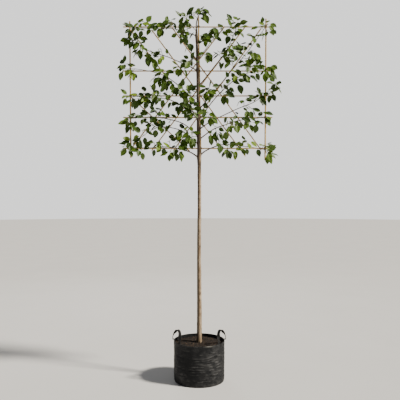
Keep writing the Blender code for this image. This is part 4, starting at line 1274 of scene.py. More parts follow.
def lump_mesh(name, seed, stretch):
    """A small uneven lump of 20 faces, about 2 units across."""
    shape = bmesh.new()
    bmesh.ops.create_icosphere(shape, subdivisions=1, radius=1.0)
    rng = random.Random(seed)
    for corner in shape.verts:
        corner.co = corner.co * rng.uniform(0.62, 1.15)
        corner.co = Vector(a * b for a, b in zip(corner.co, stretch))
    return mesh_from(shape, name)


def lump_shapes(name, seed, stretch):
    lumps = [lump_mesh(f"{name}_{i}", seed + i, stretch) for i in range(LUMP_KINDS)]
    return shape_collection(name + "_shapes", lumps)


def make_compost(finishes, tree):
    """The compost's top, and the clods, chips and fines strewn over it."""
    turn = round_turn(SOIL_SIDES)
    reach = np.linspace(1.0, 0.012, SOIL_ROWS)[:, None] ** 0.85 * SOIL_RADIUS
    x, y = reach * np.cos(turn), reach * np.sin(turn)
    top = np.stack((x, y, soil_height(x, y)), axis=-1)
    side = top[0] * (1.0, 1.0, 0.0) + np.array((0.0, 0.0, SOIL_TOP - SOIL_DEPTH))
    base = side * (0.02, 0.02, 1.0)
    skin = Skin()
    skin.loft(np.concatenate(([base], [side], top)))
    mesh = skin.mesh("compost_top", 80.0)
    height = np.array([face.center.z for face in mesh.polygons])
    upward = np.array([face.normal.z for face in mesh.polygons])
    near = np.array([face.center.xy.length for face in mesh.polygons])
    strewn = (height > SOIL_EDGE - 0.006) & (upward > 0.2) & (near > 0.022) & (near < SOIL_RADIUS - 0.005)
    mesh.attributes.new("open_top", "BOOLEAN", "FACE").data.foreach_set("value", strewn)
    bed = dress("compost_top", mesh, finishes["soil"], ["root_ball"])

    clods = lump_shapes("clod", 0, (1.0, 0.85, 0.7))
    chips = lump_shapes("chip", 40, (1.0, 0.42, 0.20))
    for name, (density, smallest, largest, seed, finish) in STREWN.items():
        values = {
            "Shapes": chips if finish == "chip" else clods,
            "Per Square Metre": density,
            "Smallest": smallest,
            "Largest": largest,
            "Seed": seed,
            "Finish": finishes[finish],
        }
        crumbs = tree.run(name, bed.data.copy(), values)
        dress(name, crumbs, None, ["root_ball"])
    drop_collection(clods)
    drop_collection(chips)
    return bed


# ---------------------------------------------------------------- paths of the wood


def trunk_axis(height):
    above = max(height - FORK_HEIGHT, 0.0)
    sway = TRUNK_SWAY * math.sin(6.0 * (height - SOIL_TOP))
    return Vector((TRUNK_X - TRUNK_LEAN * above + sway, 0.6 * sway, height))


def trunk_radius(height):
    return float(np.interp(height, TRUNK_HEIGHTS, TRUNK_RADII))


def upright_front():
    """How far behind the trunk's axis the uprights' layer stands."""
    low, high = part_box("cane_upright_left")
    return (low.y + high.y) / 2


def bough_path(name):
    """A function from a share of the bough's length to its centre and radius there."""
    side, fork, fork_deg, reach, top, top_deg, fork_pull, top_pull, thick, _ = BOUGHS[name]
    start = trunk_axis(fork)
    layer = upright_front() - UPRIGHT_RADIUS - GAP - BOUGH_TIE_RADIUS
    end = Vector((side * reach, layer + BOUGH_FORWARD.get(name, 0.0), top))
    chord = (end - start).length
    leave, arrive = math.radians(fork_deg), math.radians(top_deg)
    first = start + chord * fork_pull * Vector((side * math.cos(leave), 0.0, math.sin(leave)))
    last = end - chord * top_pull * Vector((side * math.cos(arrive), 0.0, math.sin(arrive)))
    phase = random.Random(name).uniform(0.0, math.tau)

    def at(share):
        rest = max(1.0 - share, 0.0)
        point = start * rest**3 + first * (3 * rest**2 * share)
        point += last * (3 * rest * share**2) + end * share**3
        sway = BOUGH_SWAY * math.sin(math.pi * share)
        point.y += sway * math.sin(9.0 * share + phase) - sway
        point.z += sway * math.sin(13.0 * share + phase)
        collar = 1.0 + 0.45 * math.exp(-share * chord / 0.022)
        radius = BOUGH_TIP_RADIUS + (thick - BOUGH_TIP_RADIUS) * rest**0.85
        return point, radius * collar

    return at, chord


def shoot_path(side, height, length, rise_deg):
    start = trunk_axis(height)
    rise = math.radians(rise_deg)
    way = Vector((side * math.cos(rise), SHOOT_FORWARD, math.sin(rise))).normalized()
    whole = trunk_radius(height) + length

    def at(share):
        return start + way * (whole * share), SHOOT_RADIUS * (1.0 - SHOOT_TAPER * share)

    return at, whole


def leader_path():
    start = trunk_axis(TRUNK_TIP)
    upwards = (start - trunk_axis(TRUNK_TIP - 0.01)).normalized()
    end = start + Vector(LEADER_REACH)
    middle = start + upwards * (0.55 * (end - start).length)
    thick = trunk_radius(TRUNK_TIP)

    def at(share):
        rest = 1.0 - share
        point = start * rest**2 + middle * (2 * rest * share) + end * share**2
        return point, thick + (BOUGH_TIP_RADIUS - thick) * share

    return at, (end - start).length


def path_rows(at, start, end, count):
    even = [start + (end - start) * i / (count - 1) for i in range(count)]
    near = (end - start) * END_SHARE
    rows = [at(share) for share in (start, start + near, *even[1:-1], end - near, end)]
    return [point for point, _ in rows], [radius for _, radius in rows]


# ---------------------------------------------------------------- growth rule


def direction(degrees, axis, start):
    turn = math.radians(degrees)
    return start * math.cos(turn) + axis.cross(start) * math.sin(turn)


def square_to(axis, wish):
    """The part of wish that is square to axis, as a unit vector."""
    part = wish - axis * wish.dot(axis)
    if part.length < 1e-4:
        part = Vector((0.0, -1.0, 0.0)) - axis * -axis.y
    return part.normalized()


def leaf_frame(root, axis, out, draws, scale):
    """Where one leaf goes: its stalk's two ends, and its blade's direction, face and size."""
    _, stalk, length, droop, spread, roll = draws
    stalk_way = (axis * 0.55 + out * (0.75 + 0.4 * spread)).normalized()
    base = root + stalk_way * (STALK_SUNK + stalk * scale)
    blade = (stalk_way + Vector((0.0, 0.0, -1.0)) * droop).normalized()
    face = square_to(blade, out * 0.6 + FACING)
    face = direction(roll, blade, face)
    return {"root": root, "base": base, "blade": blade, "face": face, "length": length * scale}


def leaf_rings(leaf):
    blade, face, length = leaf["blade"], leaf["face"], leaf["length"]
    side = blade.cross(face).normalized()
    half = side * (length * BLADE_SHARE / 2)
    middle = leaf["base"] + blade * (length * BLADE_WIDEST)

    def stalk_ring(centre, along):
        across = square_to(along, side) * STALK_RADIUS
        under = square_to(along, -face) * STALK_RADIUS
        return [centre - across - under / 2, centre + across - under / 2, centre + under]

    stalk = (leaf["base"] - leaf["root"]).normalized()
    wide = [middle - half, middle + half, middle - face * (BLADE_KEEL * length)]
    tip = leaf["base"] + blade * length - face * (BLADE_CURL * length)
    return [stalk_ring(leaf["root"], stalk), stalk_ring(leaf["base"], blade), wide], tip


def as_arrays(shape):
    bmesh.ops.triangulate(shape, faces=shape.faces)
    shape.verts.index_update()
    points = [vert.co.copy() for vert in shape.verts]
    faces = [tuple(vert.index for vert in face.verts) for face in shape.faces]
    shape.free()
    return points, faces


def envelope(points):
    """(points, faces) of the smallest convex shape that keeps TEST_MARGIN round these points."""
    shape = bmesh.new()
    steps = [Vector(step) * TEST_MARGIN for step in np.vstack((np.eye(3), -np.eye(3)))]
    corners = [shape.verts.new(point + step) for point in points for step in steps]
    hull = bmesh.ops.convex_hull(shape, input=corners)
    inside = {item for item in hull["geom_interior"] if isinstance(item, bmesh.types.BMVert)}
    bmesh.ops.delete(shape, geom=list(inside), context="VERTS")
    return as_arrays(shape)


def leaf_envelopes(leaf):
    (root, base, wide), tip = leaf_rings(leaf)
    return envelope([*base, *wide, tip]), envelope([*root, *base])


def turned_out(degrees, axis):
    """A direction square to a stem, this far round it."""
    return direction(degrees, axis, square_to(axis, SIDE_WISH))


def spur_points(start, end, stem_radius):
    """The corners of a spur's plain solid, which its room is tested with."""
    shape = bmesh.new()
    bmesh.ops.create_cone(
        shape,
        segments=3,
        radius1=min(SPUR_ROOT_SHARE * stem_radius, SPUR_RADIUS),
        radius2=SPUR_RADIUS,
        depth=(end - start).length,
        cap_ends=True,
    )
    turn = (end - start).to_track_quat("Z", "Y")
    points = [turn @ corner.co + (start + end) / 2 for corner in shape.verts]
    shape.free()
    return points


class Space:
    """Keeps what is already in place, each piece under its owner's name, and says whether a new
    piece is clear of it."""

    def __init__(self):
        self.trees = []

    def add(self, owner, solid):
        points = np.array([tuple(point) for point in solid[0]])
        self.trees.append((owner, BVHTree.FromPolygons(*solid), points.min(0), points.max(0)))

    def is_clear(self, piece, apart_from=None):
        tree = BVHTree.FromPolygons(*piece)
        points = np.array([tuple(point) for point in piece[0]])
        low, high = points.min(0), points.max(0)
        for owner, other, other_low, other_high in self.trees:
            if owner == apart_from or (low > other_high).any() or (high < other_low).any():
                continue
            if tree.overlap(other):
                return False
        return True


def inside_crown(points):
    return all(
        abs(p.x) < CROWN_SIDE and abs(p.y) < CROWN_DEPTH and p.z < CROWN_TOP for p in points
    )


def near_stem(points, stem):
    return all(min((p - knot).length for knot in stem) < SPACE_REACH for p in points)


def leaf_draws(rng):
    return (
        rng.uniform(-SCATTER_DEG, SCATTER_DEG),
        rng.uniform(*STALK_LENGTH),
        rng.uniform(*BLADE_LENGTH),
        rng.uniform(*DROOP),
        rng.random(),
        rng.uniform(-ROLL_DEG, ROLL_DEG),
    )


def grow_spray(tip, axis, count, scale, rng, mass, space):
    """The leaves of one spray, set round the end of its spur by the golden angle. A leaf that
    would leave its space or touch anything is turned, and left out if that doesn't help."""
    turn = rng.uniform(0.0, 360.0)
    leaves = []
    for number in range(count):
        draws = leaf_draws(rng)
        turn += GOLDEN_DEG
        root = tip - axis * (STALK_SUNK + STALK_STEP * number)
        for extra in LEAF_TRIES_DEG:
            out = turned_out(turn + draws[0] + extra, axis)
            leaf = leaf_frame(root, axis, out, draws, scale)
            blade, stalk = leaf_envelopes(leaf)
            if not (inside_crown(blade[0]) and near_stem(blade[0], mass["knots"])):
                continue
            if space.is_clear(blade) and space.is_clear(stalk, apart_from=mass["node"]):
                leaves.append(leaf)
                space.add("blades", blade)
                break
    return leaves


def grow_mass(mass, rng, space):
    """The sprays of one mass: each has its spur, as (root, tip, stem radius), and its leaves."""
    at, node = mass["at"], mass["node"]
    sprays = []
    for share, degrees in mass["places"]:
        centre, radius = at(share)
        turn = math.radians(degrees)
        out = (mass["side"] * math.cos(turn), rng.uniform(*SPUR_FORWARD), math.sin(turn))
        axis = Vector(out).normalized()
        tip = centre + axis * (radius + rng.uniform(*SPUR_LENGTH))
        count = rng.randint(*LEAVES_IN_SPRAY)
        spray = random.Random(rng.random())
        spur = envelope(spur_points(centre, tip, radius))
        if not (inside_crown(spur[0]) and space.is_clear(spur, apart_from=node)):
            continue
        space.add(node, spur)
        grown = grow_spray(tip, axis, count, 1.0, spray, mass, space)
        if grown:
            sprays.append({"spur": (centre, tip, radius), "share": share, "leaves": grown})
        else:
            space.trees.pop()
    tip, _ = at(1.0)
    along = (tip - at(0.96)[0]).normalized()
    spray = random.Random(rng.random())
    grown = grow_spray(tip, along, LEAVES_AT_TIP, TIP_LEAF_SCALE, spray, mass, space)
    sprays.append({"spur": None, "share": 1.0, "leaves": grown})
    return sprays


def grow_twigs(mass, sprays, rng, space):
    """Finer side twigs than the solids have, on the spurs, each with a few small leaves."""
    for spray in list(sprays):
        on_shoot = spray["share"] == 1.0 and mass["length"] < LONG_STEM
        if on_shoot:
            root, tip = mass["at"](SHOOT_BARE_SHARE)[0], mass["at"](1.0)[0]
        elif spray["spur"]:
            root, tip, _ = spray["spur"]
        else:
            continue
        axis = (tip - root).normalized()
        turn = rng.uniform(0.0, 360.0)
        for _ in range(SHOOT_TWIGS if on_shoot else rng.randint(*TWIGS_ON_SPUR)):
            turn += GOLDEN_DEG
            start = root + (tip - root) * rng.uniform(*TWIG_PLACE)
            out = turned_out(turn, axis)
            way = (out * 0.9 + axis * 0.6 + TWIG_PULL).normalized()
            end = start + way * rng.uniform(*TWIG_LENGTH)
            scale, count = rng.uniform(*TWIG_LEAF_SCALE), rng.randint(*TWIG_LEAVES)
            leaf_rng = random.Random(rng.random())
            room = envelope([start, end])
            if not (inside_crown(room[0]) and space.is_clear(room, apart_from=mass["node"])):
                continue
            grown = grow_spray(end, way, count, scale, leaf_rng, mass, space)
            if grown:
                space.add(mass["node"], room)
                twig = {"spur": None, "twig": (start, end), "share": spray["share"], "leaves": grown}
                sprays.append(twig)


def grow_single_leaves(mass, sprays, rng, space):
    """Single leaves that spring from the younger part of the stem, near the sprays."""
    at, length = mass["at"], mass["length"]
    along_stem = mass["leafy_from"] * length
    near = [place[0] for place in mass["places"]] + [1.0]
    turn = rng.uniform(0.0, 360.0)
    while along_stem < length * 0.985:
        share = along_stem / length
        along_stem += STEM_LEAF_SPACING * rng.uniform(0.7, 1.3)
        turn += GOLDEN_DEG
        scale, leaf_rng = rng.uniform(*STEM_LEAF_SCALE), random.Random(rng.random())
        if min(abs(share - place) for place in near) * length > STEM_LEAF_REACH:
            continue
        centre, radius = at(share)
        along = (at(min(share + 0.02, 1.0))[0] - at(share - 0.02)[0]).normalized()
        out = direction(turn, along, square_to(along, Vector((0.0, -0.3, 1.0))))
        leaf = leaf_frame(centre + out * radius * 0.6, along, out, leaf_draws(leaf_rng), scale)
        blade, stalk = leaf_envelopes(leaf)
        if inside_crown(blade[0]) and space.is_clear(blade):
            if space.is_clear(stalk, apart_from=mass["node"]):
                space.add("blades", blade)
                sprays.append({"spur": None, "share": share, "leaves": [leaf]})


def stem_mesh(points, radii):
    """A stem's plain solid, with the same sides as its own."""
    curve = bpy.data.curves.new("stem", "CURVE")
    curve.dimensions = "3D"
    curve.bevel_depth = 1.0
    curve.bevel_resolution = LIMB_SIDES_LEVEL
    curve.use_fill_caps = True
    spline = curve.splines.new("POLY")
    spline.points.add(len(points) - 1)
    for knot, point, radius in zip(spline.points, points, radii):
        knot.co = (*point, 1.0)
        knot.radius = radius
    return settled_mesh(add_object("stem", curve))


def arrays_of(mesh):
    points = [vert.co.copy() for vert in mesh.vertices]
    faces = [tuple(face.vertices) for face in mesh.polygons]
    return points, faces


def plan_mass(node, path, side, leafy_from, places, trimmed):
    at, length = path
    first = leafy_from + (0.0 if trimmed else STEM_GAP / length)
    count = BOUGH_POINTS if length > LONG_STEM else SHORT_STEM_POINTS
    points, radii = path_rows(at, first, 1.0, count)
    return {
        "node": node,
        "at": at,
        "length": length,
        "side": side,
        "leafy_from": leafy_from,
        "places": places,
        "stem": arrays_of(stem_mesh(points, radii)),
        "knots": [at(share)[0] for share in np.linspace(leafy_from, 1.0, STEM_KNOTS + 1)],
    }


def plan_masses():
    plans = []
    for name, (side, *_, leafy_from) in BOUGHS.items():
        path, places = bough_path(name), SPRAYS[name]
        plans.append(plan_mass("foliage_" + name, path, side, leafy_from, places, False))
    for name, shoot in TRUNK_SHOOTS.items():
        node = "foliage_trunk_" + name
        plans.append(plan_mass(node, shoot_path(*shoot), shoot[0], 0.0, SHOOT_SPRAYS, True))
    plans.append(plan_mass("foliage_leader", leader_path(), 1, 0.0, LEADER_SPRAYS, False))
    return plans


def grow_crown(plans):
    """Every mass's sprays, grown as the solids' are, and then the finer ones in what room is left."""
    space = Space()
    for name, node in frame["nodes"].items():
        if name == "trunk" or name.startswith(("cane_", "bough_")):
            space.add(name, arrays_of(node.data))
    for mass in plans:
        space.add(mass["node"], mass["stem"])
    for number, mass in enumerate(plans):
        mass["sprays"] = grow_mass(mass, random.Random(SEED + number), space)
        space.add(mass["node"], arrays_of(frame["nodes"][mass["node"]].data))
    for number, mass in enumerate(plans):
        rng = random.Random(FINE_SEED + number)
        grow_twigs(mass, mass["sprays"], rng, space)
        grow_single_leaves(mass, mass["sprays"], rng, space)


# ---------------------------------------------------------------- wood


def first_mark(values):
    """Marks with these values as the first of their three numbers."""
    return np.stack((values, 0.0 * values, 0.0 * values), axis=-1)


def make_trunk(finishes):
    """The stem's bark: its taper and flare, collars under the boughs, healed knots and ripples."""
    low = SOIL_TOP - TRUNK_SUNK
    count = int((TRUNK_TIP - low) / TRUNK_ROW)
    heights = np.linspace(low, TRUNK_TIP, count)
    centres = np.array([trunk_axis(max(height, SOIL_TOP)) for height in heights])
    centres[:, 2] = heights
    radii = np.interp(heights, TRUNK_HEIGHTS, TRUNK_RADII)
    turn, ways = round_turn(TRUNK_SIDES), ways_round(centres, TRUNK_SIDES)
    surface = centres[:, None] + ways * radii[:, None, None]
    relief = sum(depth * field(surface, scale, octaves) for depth, scale, octaves in RIPPLES)
    flare = np.exp(-np.clip(heights - SOIL_TOP, 0.0, None) / FLARE_HEIGHT)[:, None]
    lobes = 0.5 + 0.5 * np.cos(5.0 * turn + 0.8 * np.sin(2.0 * turn + 1.0))
    relief += flare * FLARE_SWELL * (lobes - 0.35)
    dark = np.zeros(relief.shape)

    for side, fork, fork_deg, *_ in BOUGHS.values():
        leave = math.radians(fork_deg)
        way = (side * math.cos(leave), 0.0, math.sin(leave))
        thick = trunk_radius(fork)
        spot = np.array(trunk_axis(fork)) + np.array(way) * thick / max(math.cos(leave), 0.5)
        off = np.linalg.norm(surface - spot, axis=-1)
        relief += COLLAR_SWELL * hill(off, COLLAR_SPREAD)
        dark = np.maximum(dark, 0.5 * hill(off, 0.012))
    rng = random.Random(TRUNK_SEED)
    for number in range(KNOTS):
        height = np.interp(number + rng.uniform(0.1, 0.9), (0, KNOTS), KNOT_HEIGHTS)
        angle = rng.uniform(0.0, math.tau)
        way = np.array((math.cos(angle), math.sin(angle), 0.0))
        spot = np.array(trunk_axis(height)) + way * trunk_radius(height)
        size = rng.uniform(*KNOT_SIZE)
        off = np.linalg.norm((surface - spot) * (1.0, 1.0, 0.8), axis=-1)
        relief += rng.uniform(*KNOT_SWELL) * hill(off, size)
        relief -= KNOT_DIMPLE * hill(off, 0.36 * size)
        dark = np.maximum(dark, 0.9 * hill(off, 0.55 * size))
        above = np.linalg.norm((surface - spot - (0, 0, size)) * (1.0, 1.0, 2.6), axis=-1)
        dark = np.maximum(dark, 0.45 * hill(above, size))
    # painted shade on the bark inside the crown, under the leaves
    crown = np.interp(heights, (FORK_HEIGHT - 0.15, FORK_HEIGHT + 0.2), (0.0, CROWN_PAINTED_SHADE))[:, None]
    soiled = np.interp(heights, (SOIL_TOP, SOIL_TOP + 0.018), (FOOT_DARK, 0.0))[:, None]
    # painted shade on the side of the trunk away from the main light
    side_shade = SIDE_PAINTED_SHADE * np.clip(ways @ np.array(PAINTED_SHADE_SIDE) + 0.20, 0.0, 1.0)
    dark = np.clip(dark + crown + soiled + side_shade, 0.0, 0.95)
    skin = Skin()
    skin.loft(tube_rings(centres, radii[:, None] + relief, TRUNK_SIDES), heights, first_mark(dark))
    return dress("trunk_bark", skin.mesh("trunk_bark"), finishes["trunk"], ["trunk"])


def limb_rows(at, length, start, end, step):
    shares = np.linspace(start, end, max(int((end - start) * length / step), 6))
    rows = [at(share) for share in shares]
    return shares, np.array([tuple(point) for point, _ in rows]), np.array([r for _, r in rows])


def make_boughs(finishes, plans):
    """Each bough whole, from inside the trunk to its tip, with knuckles where spurs spring."""
    skin, nodes = Skin(), nodes_named("bough_") + nodes_named("foliage_")
    for number, mass in enumerate(plans):
        shares, centres, radii = limb_rows(mass["at"], mass["length"], 0.0, 1.0, BOUGH_ROW)
        rng = random.Random(BOUGH_SEED + number)
        rings = tube_rings(centres, radii, BOUGH_SIDES)
        relief = 0.00028 * field(rings, 120.0, 3)
        along = shares * mass["length"]
        dark = np.zeros(len(shares))
        bud = rng.uniform(0.0, 0.02)
        while bud < mass["length"]:
            swell = hill(along - bud, BUD_RING[1])
            relief += (BUD_RING[0] * radii * swell)[:, None]
            dark = np.maximum(dark, 0.45 * swell)
            bud += rng.uniform(*BUD_STEP)
        for spray in mass["sprays"]:
            if spray["spur"]:
                swell = hill(along - spray["share"] * mass["length"], SPUR_RING[1])
                relief += (SPUR_RING[0] * radii * swell)[:, None]
                dark = np.maximum(dark, 0.35 * swell)
        radii_all = radii[:, None] + relief
        radii_all[-2:] *= np.array((0.85, 0.45))[:, None]
        mark = first_mark(np.broadcast_to(dark[:, None], radii_all.shape))
        skin.loft(tube_rings(centres, radii_all, BOUGH_SIDES), along, mark)
    return dress("bough_bark", skin.mesh("bough_bark"), finishes["bough"], nodes)


def straight(start, end, shares):
    return np.array([tuple(start + (end - start) * share) for share in shares])


def add_spur(skin, root, tip, stem):
    """A stubby spur with its ring scars, bowed a little upwards."""
    shares = np.linspace(0.0, 1.0, 9)
    thin = min(0.62 * stem, SPUR_NECK)
    radii = thin + (SPUR_HEAD - thin) * shares**1.6
    radii *= 1.0 + 0.13 * np.cos(shares * 8 * math.pi)
    radii[-1] *= 0.55
    bend = square_to((tip - root).normalized(), Vector((0, 0, 1))) * SPUR_BOW
    centres = straight(root, tip, shares) + np.outer(np.sin(math.pi * shares), bend)
    skin.tube(centres, radii, SPUR_SIDES, (0.25, 0.0, 0.0))


def add_twig(skin, root, tip):
    shares = np.linspace(0.0, 1.0, 6)
    radii = TWIG_RADIUS * (1.15 - 0.35 * shares)
    radii *= 1.0 + 0.12 * np.cos(shares * 5 * math.pi)
    skin.tube(straight(root, tip, shares), radii, SPUR_SIDES)


def make_spurs(finishes, plans):
    """Stubby spurs, thin side twigs, and a bud beside each tuft of leaves."""
    spurs, buds = Skin(), Skin()
    nodes = nodes_named("foliage_")
    for number, mass in enumerate(plans):
        rng = random.Random(SPUR_SEED + number)
        for spray in mass["sprays"]:
            if spray["spur"]:
                root, end, _ = spray["spur"]
                add_spur(spurs, *spray["spur"])
            elif spray.get("twig"):
                root, end = spray["twig"]
                add_twig(spurs, root, end)
            elif spray["share"] == 1.0:
                root, end = mass["at"](0.97)[0], mass["at"](1.0)[0]
            else:
                continue
            way, length = (end - root).normalized(), rng.uniform(*BUD_LENGTH)
            shares = np.linspace(0.0, 1.0, len(BUD_FORM))
            centres = np.array([tuple(end + way * (length * share - 0.001)) for share in shares])
            buds.tube(centres, BUD_RADIUS * np.array(BUD_FORM), SPUR_SIDES)
    dress("spurs_and_twigs", spurs.mesh("spurs_and_twigs"), finishes["twig"], nodes)
    dress("buds", buds.mesh("buds"), finishes["bud"], nodes)


# ---------------------------------------------------------------- leaves


def leaf_form(rng):
    """One kind of leaf: how wide, folded, curled, waved and lopsided it is."""
    return {
        "width": BLADE_SHARE * rng.uniform(0.94, 1.10),
        "fold": rng.uniform(0.045, 0.100),
        "curl": rng.uniform(0.03, 0.17),
        "wave": rng.uniform(0.004, 0.014),
        "phase": rng.uniform(0.0, math.tau),
        "sweep": rng.uniform(-0.045, 0.045),
    }


def half_width(share):
    """A blade's half width at this share of its length: rounded at its base, drawn to a point."""
    if share <= BLADE_WIDEST:
        return math.sin(math.pi / 2 * (share / BLADE_WIDEST) ** 0.66)
    rest = (share - BLADE_WIDEST) / (1.0 - BLADE_WIDEST)
    return math.cos(math.pi / 2 * rest**1.12) ** 1.12


def leaf_point(form, share, across):
    """A point of the blade, for a leaf of unit length: x across, y along, z towards its face."""
    half = form["width"] / 2 * half_width(share)
    off = abs(across)
    depth = form["fold"] * (0.25 + 0.75 * half_width(share))
    z = -depth * (1.0 - off) ** 1.35 + 0.012 * math.sin(math.pi * off)
    z += form["wave"] * off * math.sin(7.5 * share + form["phase"] + across)
    z -= form["curl"] * share**2.2
    x = across * half + form["sweep"] * math.sin(math.pi * share)
    return (x, share, z)


def leaf_mesh(name, form):
    """A closed blade of 36 faces: a domed upper side of two halves that meet at the midrib, and a
    plainer underside, whose faces are marked."""
    grid = [(row, column) for row in LEAF_ROWS for column in LEAF_COLUMNS]
    spots = [(0.0, 0.0), *grid, (1.0, 0.0)]
    points = [leaf_point(form, *spot) for spot in spots]
    shares = [((column + 1) / 2, row) for row, column in spots]
    last = len(points) - 1
    under = [last + 1 + number for number in range(5)]
    for row in LEAF_ROWS:
        x, y, z = leaf_point(form, row, 0.0)
        points.append((x, y, z - 0.010))
        shares.append((0.5, row))

    def at(row, column):
        return 1 + row * 5 + column

    faces = []
    for column in range(4):
        faces.append((0, at(0, column + 1), at(0, column)))
        faces.append((last, at(4, column), at(4, column + 1)))
        for row in range(4):
            a, b = at(row, column), at(row, column + 1)
            faces.append((a, b, at(row + 1, column + 1), at(row + 1, column)))
    for edge, order in ((0, 1), (4, -1)):
        rim = [(0, at(0, edge), under[0]), (last, under[4], at(4, edge))]
        for row in range(4):
            rim.append((at(row, edge), at(row + 1, edge), under[row + 1], under[row]))
        faces += [face[::order] for face in rim]
    mesh = bpy.data.meshes.new(name)
    mesh.from_pydata(points, [], faces)
    layer = mesh.uv_layers.new(name="UVMap")
    uvs = [shares[corner] for face in mesh.polygons for corner in face.vertices]
    layer.data.foreach_set("uv", np.array(uvs, np.float32).ravel())
    side = mesh.attributes.new("under", "BOOLEAN", "FACE")
    side.data.foreach_set("value", [number >= UPPER_FACES for number in range(len(faces))])
    shape = bmesh.new()
    shape.from_mesh(mesh)
    bmesh.ops.recalc_face_normals(shape, faces=shape.faces)
    for edge in shape.edges:
        on_rib = all(abs(shares[vert.index][0] - 0.5) < 1e-6 for vert in edge.verts)
        sides = {face.index < UPPER_FACES for face in edge.link_faces}
        edge.smooth = not (on_rib or len(sides) == 2)
    for face in shape.faces:
        face.smooth = True
    shape.to_mesh(mesh)
    shape.free()
    return mesh


def leaf_turn(leaf):
    """The rotation that lays a leaf's y along its blade and its z towards its face."""
    blade, face = leaf["blade"], leaf["face"]
    side = blade.cross(face).normalized()
    return Matrix((side, blade, face)).transposed().to_quaternion()


def make_leaves(finishes, plans, rods):
    """All leaves in four tones, dealt out by spray, and their stalks."""
    rng = random.Random(LEAF_SEED)
    forms = [leaf_form(rng) for _ in range(LEAF_KINDS)]
    kinds = [leaf_mesh(f"leaf_{i}", form) for i, form in enumerate(forms)]
    shapes, tree = shape_collection("leaf_shapes", kinds), leaves_tree()
    rows, stalks = {tone: [] for tone in TONES}, []
    for mass in plans:
        for spray in mass["sprays"]:
            tone = rng.choices(TONES, TONE_WEIGHTS)[0]
            if spray["share"] > 0.985 and rng.random() < 0.5:
                tone = "light"
            for leaf in spray["leaves"]:
                kind = rng.randrange(LEAF_KINDS)
                rows[tone].append((leaf["base"], leaf_turn(leaf), leaf["length"], kind))
                stalks.append(stalk_chain(leaf, forms[kind]))
    nodes = nodes_named("foliage_")
    for tone in TONES:
        values = {"Shapes": shapes, "Finish": finishes[tone], "Under Finish": finishes["under_" + tone]}
        mesh = tree.run("leaves_" + tone, points_mesh("leaf_points", rows[tone]), values)
        dress("leaves_" + tone, mesh, None, nodes)
    drop_collection(shapes)
    values = {"Sides": 5, "Thickness": 1.0, "Finish": finishes["stalk"]}
    mesh = rods.run("leaf_stalks", chains_mesh("stalk_lines", stalks), values)
    dress("leaf_stalks", mesh, None, nodes)


def stalk_chain(leaf, form):
    """A stalk that bows a little on its way to the blade and runs on under it as the midrib."""
    root, base, face, blade, length = (leaf[key] for key in ("root", "base", "face", "blade", "length"))
    side = blade.cross(face).normalized()
    way = base - root
    sag = square_to(way.normalized(), Vector((0.0, 0.0, 1.0))) * (0.10 * way.length)
    thin = 0.55 + 0.45 * length / BLADE_LENGTH[1]
    chain = [(root, 0.00105 * thin)]
    chain += [(root + way * s + sag * math.sin(math.pi * s), 0.00075 * thin) for s in (0.35, 0.7)]
    for share, radius in ((0.015, 0.00070), (0.24, 0.00052), (0.50, 0.00030)):
        x, y, z = leaf_point(form, share, 0.0)
        under = z - 0.008
        chain.append((base + (side * x + blade * y + face * under) * length, radius * thin))
    return chain


# ---------------------------------------------------------------- canes and ties


def cane_ends(node):
    """Centres and radii of a cane's two ends, read from its solid."""
    points = np.array([tuple(vert.co) for vert in frame["nodes"][node].data.vertices])
    centre = points.mean(axis=0)
    axis = np.linalg.svd(points - centre, full_matrices=False)[2][0]
    axis *= np.sign(axis[2] if abs(axis[2]) > 0.02 else axis[0])
    along = (points - centre) @ axis
    low, high = points[along < along.min() + 0.002], points[along > along.max() - 0.002]
    ends = []
    for end in (low, high):
        middle = (end.min(axis=0) + end.max(axis=0)) / 2
        ends.append((middle, np.linalg.norm(end - middle, axis=1).max()))
    return ends


def cane_rings(length, rng):
    """Where a cane's rings stand along it."""
    rings = [rng.uniform(0.03, 0.12)]
    while rings[-1] < length - 0.05:
        rings.append(rings[-1] + rng.uniform(*CANE_NODE_STEP))
    return rings


